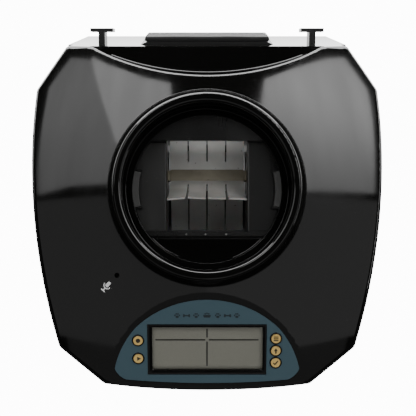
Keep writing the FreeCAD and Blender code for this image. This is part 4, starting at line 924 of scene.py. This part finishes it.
def bowl_sign(x, slope):
    """A feeding bowl with three pellets over it."""
    bowl = new_rod("bowl", 2.5 * MM, PRINT_RISE, (0, 0, 0), 32)
    edit()
    for height, side in ((0.2 * MM, 1), (-1.6 * MM, -1)):
        select_everything()
        bpy.ops.mesh.bisect(plane_co=(0, height, 0), plane_no=(0, side, 0), clear_outer=True, use_fill=True)
    leave_edit()
    heap = ((-1.2, 1.3), (0, 1.7), (1.2, 1.3))
    pellets = [disc("pellet", 0.5 * MM, (x + dx * MM, slope + dy * MM, 0)) for dx, dy in heap]
    return [put(bowl, (0, 0, 0), (x, slope + 0.3 * MM, 0)), *pellets]


def paw_sign(x, slope):
    """A paw: one wide pad and four toes."""
    toes = ((-1.5, 0.2), (-0.55, 1.25), (0.55, 1.25), (1.5, 0.2))
    signs = [disc("toe", 0.5 * MM, (x + dx * MM, slope + dy * MM, 0), 1.25) for dx, dy in toes]
    return [disc("pad", 1.1 * MM, (x, slope - 0.8 * MM, 0), 0.8), *signs]


def bone_sign(x, slope):
    """A biscuit in the shape of a bone."""
    knobs = ((-1.8, -0.5), (-1.8, 0.5), (1.8, -0.5), (1.8, 0.5))
    ends = [disc("end", 0.62 * MM, (x + dx * MM, slope + dy * MM, 0)) for dx, dy in knobs]
    return [flat_bar("stick", 3.6 * MM, 0.85 * MM, (x, slope, 0)), *ends]


def make_panel_mark():
    """A row of plain signs printed above the screen: bones and paws either side of a bowl."""
    slope = -16.0 * MM
    signs = bowl_sign(0, slope)
    for side in (-1, 1):
        signs += paw_sign(side * 7.2 * MM, slope)
        signs += bone_sign(side * 13.6 * MM, slope)
        signs += paw_sign(side * 19.8 * MM, slope)
    whole = join("panel_signs", signs)
    put(whole, (0, 0, 0), (0, 0, 0.03 * MM))
    finish_with(whole, "WELD", merge_threshold=1e-6)
    on_display(whole)
    give(whole, panel_print, "head", "panel_film")


KEYS = {
    "record": (-46.1, 33.5), "play": (-46.1, 46.3),
    "set": (46.1, 32.1), "up": (46.1, 40.7), "ok": (46.1, 49.3),
}
KEY_TOP = 0.8 * MM


def key_marks(name):
    """The sign printed on a key, drawn flat about the origin."""
    if name == "record":
        dot = new_rod("dot", 1.5 * MM, PRINT_RISE, (0, 0, 0), 32)
        return [ease(dot, 0.02 * MM, 1)]
    if name == "play":
        wedge = new_rod("wedge", 1.75 * MM, PRINT_RISE, (0.15 * MM, 0, 0), 3, (0, 0, -math.pi / 2))
        return [ease(wedge, 0.02 * MM, 1)]
    if name == "set":
        return [flat_bar("bar", 3.3 * MM, 0.75 * MM, (0, y * MM, 0)) for y in (-1.25, 0.0, 1.25)]
    if name == "up":
        head = new_rod("head", 1.45 * MM, PRINT_RISE, (0, 0.55 * MM, 0), 3)
        stem = flat_bar("stem", 0.95 * MM, 2.0 * MM, (0, -1.0 * MM, 0))
        return [ease(head, 0.02 * MM, 1), stem]
    long = flat_bar("tick_long", 0.85 * MM, 3.4 * MM, (0.5 * MM, 0.1 * MM, 0), math.radians(-38))
    short = flat_bar("tick_short", 0.85 * MM, 1.7 * MM, (-1.05 * MM, -0.65 * MM, 0), math.radians(42))
    return [long, short]


def make_keys():
    """Domed caps with a soft rim; each carries its own sign."""
    cap = new_rod("cap", 3.12 * MM, 2.4 * MM, (0, 0, KEY_TOP - 1.2 * MM), 56)
    edit()
    pick(lambda f: f.normal.z > 0.9)
    for width, rise in ((0.45, -0.14), (0.3, 0.06), (1.2, 0.06)):
        bpy.ops.mesh.inset(thickness=width * MM, depth=0.0)
        bpy.ops.transform.translate(value=(0, 0, rise * MM))
    leave_edit()
    ease(cap, 0.12 * MM, 3, 30)
    smooth(cap, 35)
    skirt = new_rod("skirt", 4.1 * MM, 0.85 * MM, (0, 0, -3.95 * MM), 48)
    neck = new_rod("neck", 3.1 * MM, 2.2 * MM, (0, 0, -2.6 * MM), 48)
    model = join("key_cap", [cap, ease(skirt, 0.15 * MM, 2), neck])
    for name, (u, slope) in KEYS.items():
        key = copy_of(model, f"{name}_key_cap")
        put(key, (0, 0, 0), (u * MM, -slope * MM, 0))
        on_display(key)
        give(key, finishes["button_cream"], f"{name}_key", "button_cream", f"{name}_button")
        sign = join(f"{name}_sign", key_marks(name))
        put(sign, (0, 0, 0), (u * MM, -slope * MM, KEY_TOP + 0.01 * MM))
        on_display(sign)
        give(sign, dark_print, f"{name}_key", "component_black")
    bpy.data.objects.remove(model)


def make_key_rings():
    """Dark rings that line the panel's key holes."""
    rings = []
    for u, slope in KEYS.values():
        crown = arc((3.72 * MM, 0.25 * MM), 0.45 * MM, 180, 0, 6)
        profile = [(3.27 * MM, -0.6 * MM), *crown, (4.17 * MM, -0.02 * MM), (3.7 * MM, -0.6 * MM)]
        ring = swept_ring("ring", profile, 0, math.tau, 56)
        smooth(ring, 40)
        rings.append(put(ring, (0, 0, 0), (u * MM, -slope * MM, 0)))
    whole = on_display(join("key_rings", rings))
    give(whole, finishes["frame_black"], "head", "frame_black")


# --- dome ---

SKIN_STEPS = 110
SKIN_SIZE = 0.27
SKIN_RISE = 0.04 * MM
RIM_RADIUS = 151.2 * MM
RIM_CENTRE_Y = 225.3 * MM
MIC_PLACE = (-59.8 * MM, -58.6 * MM)


def upright_prism(name, outline, low, high):
    """A solid with an upright wall through each corner of the outline."""
    prism = new_outline(name, [(x, y, low) for x, y in outline])
    edit()
    select_everything()
    bpy.ops.mesh.extrude_region_move(TRANSFORM_OT_translate={"value": (0, 0, high - low)})
    leave_edit()
    recalculate(prism)
    return prism


def make_dome_skin():
    """The polished dome as one even skin, so that what it mirrors runs true to its rounded edge."""
    on_dome = [
        corner.co.xy for corner in nodes["top_shell"].data.vertices
        if abs(corner.co.z - dome_height(corner.co.x, corner.co.y)) < 0.03 * MM
    ]
    outline = [on_dome[n] for n in geometry.convex_hull_2d(on_dome)]
    clear()
    bpy.ops.mesh.primitive_grid_add(x_subdivisions=SKIN_STEPS, y_subdivisions=SKIN_STEPS, size=SKIN_SIZE)
    skin = started("dome_skin")

    def onto_dome(place):
        place.z = dome_height(place.x, place.y) + SKIN_RISE

    reshape(skin, onto_dome)
    finish_with(skin, "SOLIDIFY", thickness=0.5 * MM, offset=-1.0)
    low, high, slab = 0.05, 0.12, 0.1
    centre_z = (low + high) / 2
    cut_with(skin, upright_prism("dome_form", outline, low, high), "INTERSECT")
    cutters = [
        new_rod("collar_space", 66.4 * MM, high - low, (0, 0, centre_z), 160),
        new_rod("ledge_space", RIM_RADIUS, high - low, (0, RIM_CENTRE_Y, centre_z), 360),
        new_rod("mic_space", 1.75 * MM, high - low, (*MIC_PLACE, centre_z), 32),
        on_display(new_block("facet_space", (0.3, 0.3, slab), (0, 0, slab / 2 + 0.03 * MM))),
    ]
    for cutter in cutters:
        cut_with(skin, cutter)
    give(smooth(skin, 30), finishes["shell_gloss"], "head", "shell_gloss")


def make_mic_mark():
    """A small microphone sign printed beside the sound hole."""
    body = flat_bar("body", 2.3 * MM, 4.0 * MM, (0, 1.7 * MM, 0))
    half = PRINT_RISE / 2
    profile = [(2.0 * MM, -half), (2.7 * MM, -half), (2.7 * MM, half), (2.0 * MM, half)]
    cradle = swept_ring("cradle", profile, math.pi, math.pi, 20)
    put(cradle, (0, 0, 0), (0, 0.9 * MM, 0))
    stem = flat_bar("stem", 0.8 * MM, 1.8 * MM, (0, -2.5 * MM, 0))
    base = flat_bar("base", 3.4 * MM, 0.8 * MM, (0, -3.6 * MM, 0))
    mark = join("mic_mark", [body, cradle, stem, base])
    put(mark, (0, 0, math.radians(-42)), (-66.9 * MM, -65.8 * MM, 0))

    def onto_skin(place):
        place.z += dome_height(place.x, place.y) + SKIN_RISE + 0.04 * MM

    reshape(mark, onto_skin)
    give(mark, white_print, "head", "shell_gloss")


def make_ledge_bead():
    """The rounded top edge of the curved lip in front of the rear ledge."""
    radius = 158.0 * MM
    centre_y = 79.3 * MM + radius
    half = math.asin(66.0 * MM / radius)
    profile = arc((radius, 0), 0.75 * MM, 0, 330, 11)
    bead = swept_ring("ledge_bead", profile, -math.pi / 2 - half, 2 * half, 96)

    def along_dome(place):
        place.y += centre_y
        place.z += dome_height(place.x, place.y) - 4.0 * MM

    reshape(bead, along_dome)
    give(smooth(bead, 60), finishes["ledge_gloss"], "head", "ledge_gloss")


# --- rear pad ---


def make_rear_pad():
    """The felt-faced foam strip, slightly swollen between its glued back and soft corners."""
    low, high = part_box("rear_pad")
    lean = math.radians(20.0)
    half, thick, tall = 44.3 * MM, 3.7 * MM, 41.0 * MM
    pad = new_block("felt_strip", (2 * half, thick, tall))
    edit()
    select_everything()
    bpy.ops.mesh.subdivide(number_cuts=1)
    leave_edit()
    ease(pad, 0.7 * MM, 3, 60)
    finish_with(pad, "REMESH", mode="VOXEL", voxel_size=0.9 * MM)
    random.seed(7)
    phases = [random.uniform(0, math.tau) for _ in range(4)]

    def soften(place):
        x, y, z = place
        height = 2 * z / tall
        if y > 0:
            swell = 0.22 * MM * max(0.0, 1 - (x / half) ** 4) * max(0.0, 1 - height**4)
            ripple = 0.07 * MM * math.sin(x / (6 * MM) + phases[0]) * math.sin(z / (5 * MM) + phases[1])
            place.y += swell + ripple - 0.12 * MM
        if z > 0:
            droop = 0.22 * MM * math.sin(x / (31 * MM) + phases[2])
            droop += 0.1 * MM * math.sin(x / (4.3 * MM) + phases[3])
            place.z += droop * height - 0.3 * MM
        place.x -= 0.25 * MM * (x / half) * height**2

    reshape(pad, soften)
    smooth(pad, 80)
    # the strip lines up with the top end of the pocket it is glued into
    spare = Vector((0, -math.sin(lean), math.cos(lean))) * 2.3 * MM
    put(pad, (lean, 0, 0), (low + high) / 2 + spare)
    give(pad, finishes["pad_foam"], "head", "pad_foam", "rear_pad")


# --- screws ---


def make_case_screws():
    """Pan heads with a cross recess, in the counterbores under the housing."""
    copy = copy_of(nodes["case_screws"], "screw_places")
    recalculate(copy)
    clusters = []
    for corner in copy.data.vertices:
        place = corner.co.copy()
        near = [cluster for cluster in clusters if (place.xy - cluster[0].xy).length < 6 * MM]
        if near:
            near[0].append(place)
        else:
            clusters.append([place])
    bpy.data.objects.remove(copy)
    # each screw's lowest and highest corner
    ends = [(Vector(map(min, zip(*cluster))), Vector(map(max, zip(*cluster)))) for cluster in clusters]
    height = ends[0][1].z - ends[0][0].z
    head = new_rod("head", 2.85 * MM, 1.1 * MM, (0, 0, 0.55 * MM), 40)
    ease(head, 0.35 * MM, 3)
    for turn in (0, math.pi / 2):
        cutter = new_block("cutter", (3.2 * MM, 0.75 * MM, 1.2 * MM), (0, 0, 0.1 * MM))
        cut_with(head, put(cutter, (0, 0, turn), (0, 0, 0)))
    shank = new_rod("shank", 1.45 * MM, height - 1.1 * MM, (0, 0, (height + 1.1 * MM) / 2), 32)
    model = join("screw_model", [head, shank])
    smooth(model, 35)
    screws = []
    for n, (low, high) in enumerate(ends):
        screw = copy_of(model, f"screw_{n}")
        place = ((low.x + high.x) / 2, (low.y + high.y) / 2, low.z)
        screws.append(put(screw, (0, 0, 0.5 * n + 0.2), place))
    bpy.data.objects.remove(model)
    whole = join("cross_head_screws", screws)
    give(whole, finishes["screw_steel"], "head", "screw_steel", "case_screws")


make_collar_lip()
# the edge of the step that the hopper's spigot stands on, and the line where the collar meets the dome
make_round_bead("seat_bead", 55.15 * MM, BACK_PLATE - 0.42 * MM, 0.62 * MM, 192)
make_round_bead("collar_foot", 66.3 * MM, dome_height(66.0 * MM, 0) + 0.12 * MM, 0.4 * MM, 160)
make_gasket()
make_throat_ribs()
make_throat_facings()
make_mouth_edges()
make_lip_pips()
make_tab_caps()
for quarter, (flap_name, finger_set) in enumerate(FINGER_SETS.items()):
    make_flap(flap_name, ROTOR_TURN + 90 * quarter, finger_set)
make_hub()
make_screen_frame()
make_sill_studs()
make_screen_lines()
make_panel_mark()
make_keys()
make_key_rings()
make_dome_skin()
make_mic_mark()
make_ledge_bead()
make_rear_pad()
make_case_screws()

# --- floor and lights ---


def make_floor():
    """A plain pale floor that stays bright in view and softer in reflections."""
    clear()
    bpy.ops.mesh.primitive_plane_add(size=60, location=(0, 0, -0.001))
    floor = started("floor")
    material, tree = blank("pale_floor")
    surface = tree.nodes["Principled BSDF"]
    surface.inputs["Roughness"].default_value = 0.9
    surface.inputs["Specular IOR Level"].default_value = 0.1
    place = tree.nodes.new("ShaderNodeTexCoord").outputs["Object"]
    # the floor under the object is in shade, so it stays dark through the discharge opening
    distance = tree.nodes.new("ShaderNodeVectorMath")
    distance.operation = "LENGTH"
    tree.links.new(place, distance.inputs[0])
    outside = ramp_between(tree, distance.outputs["Value"], 0.07, 0.09)
    behind = ramp_between(tree, axis_of(tree, place, "Y"), 0.1, 0.16)
    shade = blend_colour(tree, behind, grey(0.12), grey(0.9))
    tree.links.new(shade, surface.inputs["Base Color"])
    surface.inputs["Emission Color"].default_value = (1, 1, 1, 1)
    backdrop = math_node(tree, "MULTIPLY", behind, BACKDROP_GLOW)
    # a faint bounce under the object, for the parts on its underside
    beneath = math_node(tree, "MULTIPLY_ADD", outside, -UNDER_GLOW, UNDER_GLOW)
    tree.links.new(math_node(tree, "ADD", backdrop, beneath), surface.inputs["Emission Strength"])
    glow = tree.nodes.new("ShaderNodeEmission")
    tree.links.new(math_node(tree, "MULTIPLY", outside, FLOOR_GLOW), glow.inputs["Strength"])
    seen = tree.nodes.new("ShaderNodeLightPath").outputs["Is Camera Ray"]
    mixed = mix_surfaces(tree, seen, surface.outputs[0], glow.outputs[0])
    # seen from below, the floor is clear
    below = tree.nodes.new("ShaderNodeNewGeometry").outputs["Backfacing"]
    clear_side = tree.nodes.new("ShaderNodeBsdfTransparent")
    both = mix_surfaces(tree, below, mixed, clear_side.outputs[0])
    tree.links.new(both, tree.nodes["Material Output"].inputs["Surface"])
    floor.data.materials.append(material)


def mirrored(x, y):
    """Where the view, mirrored at a place on the dome in millimetres, meets the height of the cards."""
    x, y = x * MM, y * MM
    spot = Vector((x, y, dome_height(x, y)))
    normal = (spot - Vector((0, 0, DOME_TOP - DOME_RADIUS))).normalized()
    away = (spot - view.location).normalized().reflect(normal)
    return spot + away * ((CARD_HEIGHT - spot.z) / away.z)


def light_finish(name, strength, fall=None):
    """A soft glow, which may fade along one axis and is a little streaky."""
    material, tree = blank(name)
    tree.nodes.remove(tree.nodes["Principled BSDF"])
    glow = tree.nodes.new("ShaderNodeEmission")
    glow.inputs["Strength"].default_value = strength
    if fall:
        axis, near, far, dim_part = fall
        place = tree.nodes.new("ShaderNodeTexCoord").outputs["Object"]
        amount = ramp_between(tree, axis_of(tree, place, axis), near, far)
        amount = math_node(tree, "MULTIPLY_ADD", amount, 1 - dim_part, dim_part)
        turned = tree.nodes.new("ShaderNodeMapping")
        turned.inputs["Rotation"].default_value = (0, 0, math.radians(35))
        turned.inputs["Scale"].default_value = (7.0, 1.1, 1.0)
        tree.links.new(place, turned.inputs["Vector"])
        streak = noise(tree, turned.outputs["Vector"], 1.0, 5.0)
        streak = math_node(tree, "MULTIPLY_ADD", streak, 0.5, 0.75)
        amount = math_node(tree, "MULTIPLY", amount, streak)
        tree.links.new(math_node(tree, "MULTIPLY", amount, strength), glow.inputs["Strength"])
    tree.links.new(glow.outputs[0], tree.nodes["Material Output"].inputs["Surface"])
    return material


def make_card(name, corners, strength, fall=None, fill=False):
    """A soft light card through the given corners."""
    card = new_outline(name, corners)
    card.data.materials.append(light_finish(name, strength, fall))
    card.visible_camera = False
    # a fill card lights the surfaces without showing in their gloss
    card.visible_glossy = not fill


def overhead(name, places, strength, fall=None):
    """A card overhead, whose outline is given by where the dome is to mirror it."""
    make_card(name, [mirrored(x, y) for x, y in places], strength, fall)


def flat_corners(x_low, x_high, y_low, y_high):
    corners = ((x_low, y_low), (x_high, y_low), (x_high, y_high), (x_low, y_high))
    return [(x, y, CARD_HEIGHT) for x, y in corners]


FLOOR_GLOW = 13.0
BACKDROP_GLOW = 5.0
UNDER_GLOW = 0.3
CARD_HEIGHT = 1.4
make_floor()
# the cards end where the dome turns down into its rounded edge, all the way round
seam = [(-79.5, 90), (-71, 60), (-64, 39.5), (-61.5, 31), (-52, 20)]
rear_left_edge = [(-24.5, 71), (-43, 75.5), (-68, 86), (-79, 92)]
left_edge = [(-94, 92.5), (-109, 71), (-110.5, 61), (-113.5, 36), (-114.5, 0)]
right_edge = [(113.5, -3), (114, 10), (114, 36), (112, 62), (110.5, 70), (95, 92.5)]
overhead("left_inner_card", [(-23, 50), *rear_left_edge, *seam], 5.0, ("Y", 0.3, 1.2, 0.85))
left_outline = [*seam, (-50, 4), (-67, 2), (-92, 1), (-114, -4), *reversed(left_edge)]
overhead("left_outer_card", left_outline, 2.4, ("Y", 0.1, 1.0, 0.75))
right_outline = [(35, 50), (39, 74), (82, 91), *reversed(right_edge), (61, -3), (50, -2)]
overhead("right_card", right_outline, 6.2, ("Y", 0.1, 1.0, 0.4))
for side, strength in ((-1, 0.43), (1, 0.54)):
    outline = [(2.0, 0.12), (0.5, 0.12), (0.34, -0.3), (0.0, -0.36), (0.0, -1.02), (2.0, -1.02)]
    make_card("front_card", [(side * x, y, CARD_HEIGHT) for x, y in outline], strength)
make_card("facet_card", flat_corners(-1.2, 1.2, -1.7, -1.02), 0.2)
make_card("front_fill", flat_corners(-1.3, 1.3, -2.4, -1.65), 5.0, fill=True)
make_card("rear_wall", [(-1.7, 1.8, 0), (1.7, 1.8, 0), (1.7, 1.8, 0.75), (-1.7, 1.8, 0.75)], 12.0)
make_card("right_strip", [(1.9, -0.6, 0.35), (1.9, 0.6, 0.35), (1.9, 0.6, 0.6), (1.9, -0.6, 0.6)], 3.5)

# the room is pale at the horizon and dark overhead
ROOM_HORIZON = 0.8
ROOM_OVERHEAD = 0.055
room = bpy.data.worlds.new("room")
bpy.context.scene.world = room
room.use_nodes = True
room_tree = room.node_tree
heading = room_tree.nodes.new("ShaderNodeTexCoord")
above = ramp_between(room_tree, axis_of(room_tree, heading.outputs["Generated"], "Z"), 0.05, 0.5)
room_light = math_node(room_tree, "MULTIPLY_ADD", above, ROOM_OVERHEAD - ROOM_HORIZON, ROOM_HORIZON)
room_tree.links.new(room_light, room_tree.nodes["Background"].inputs["Strength"])

clear()
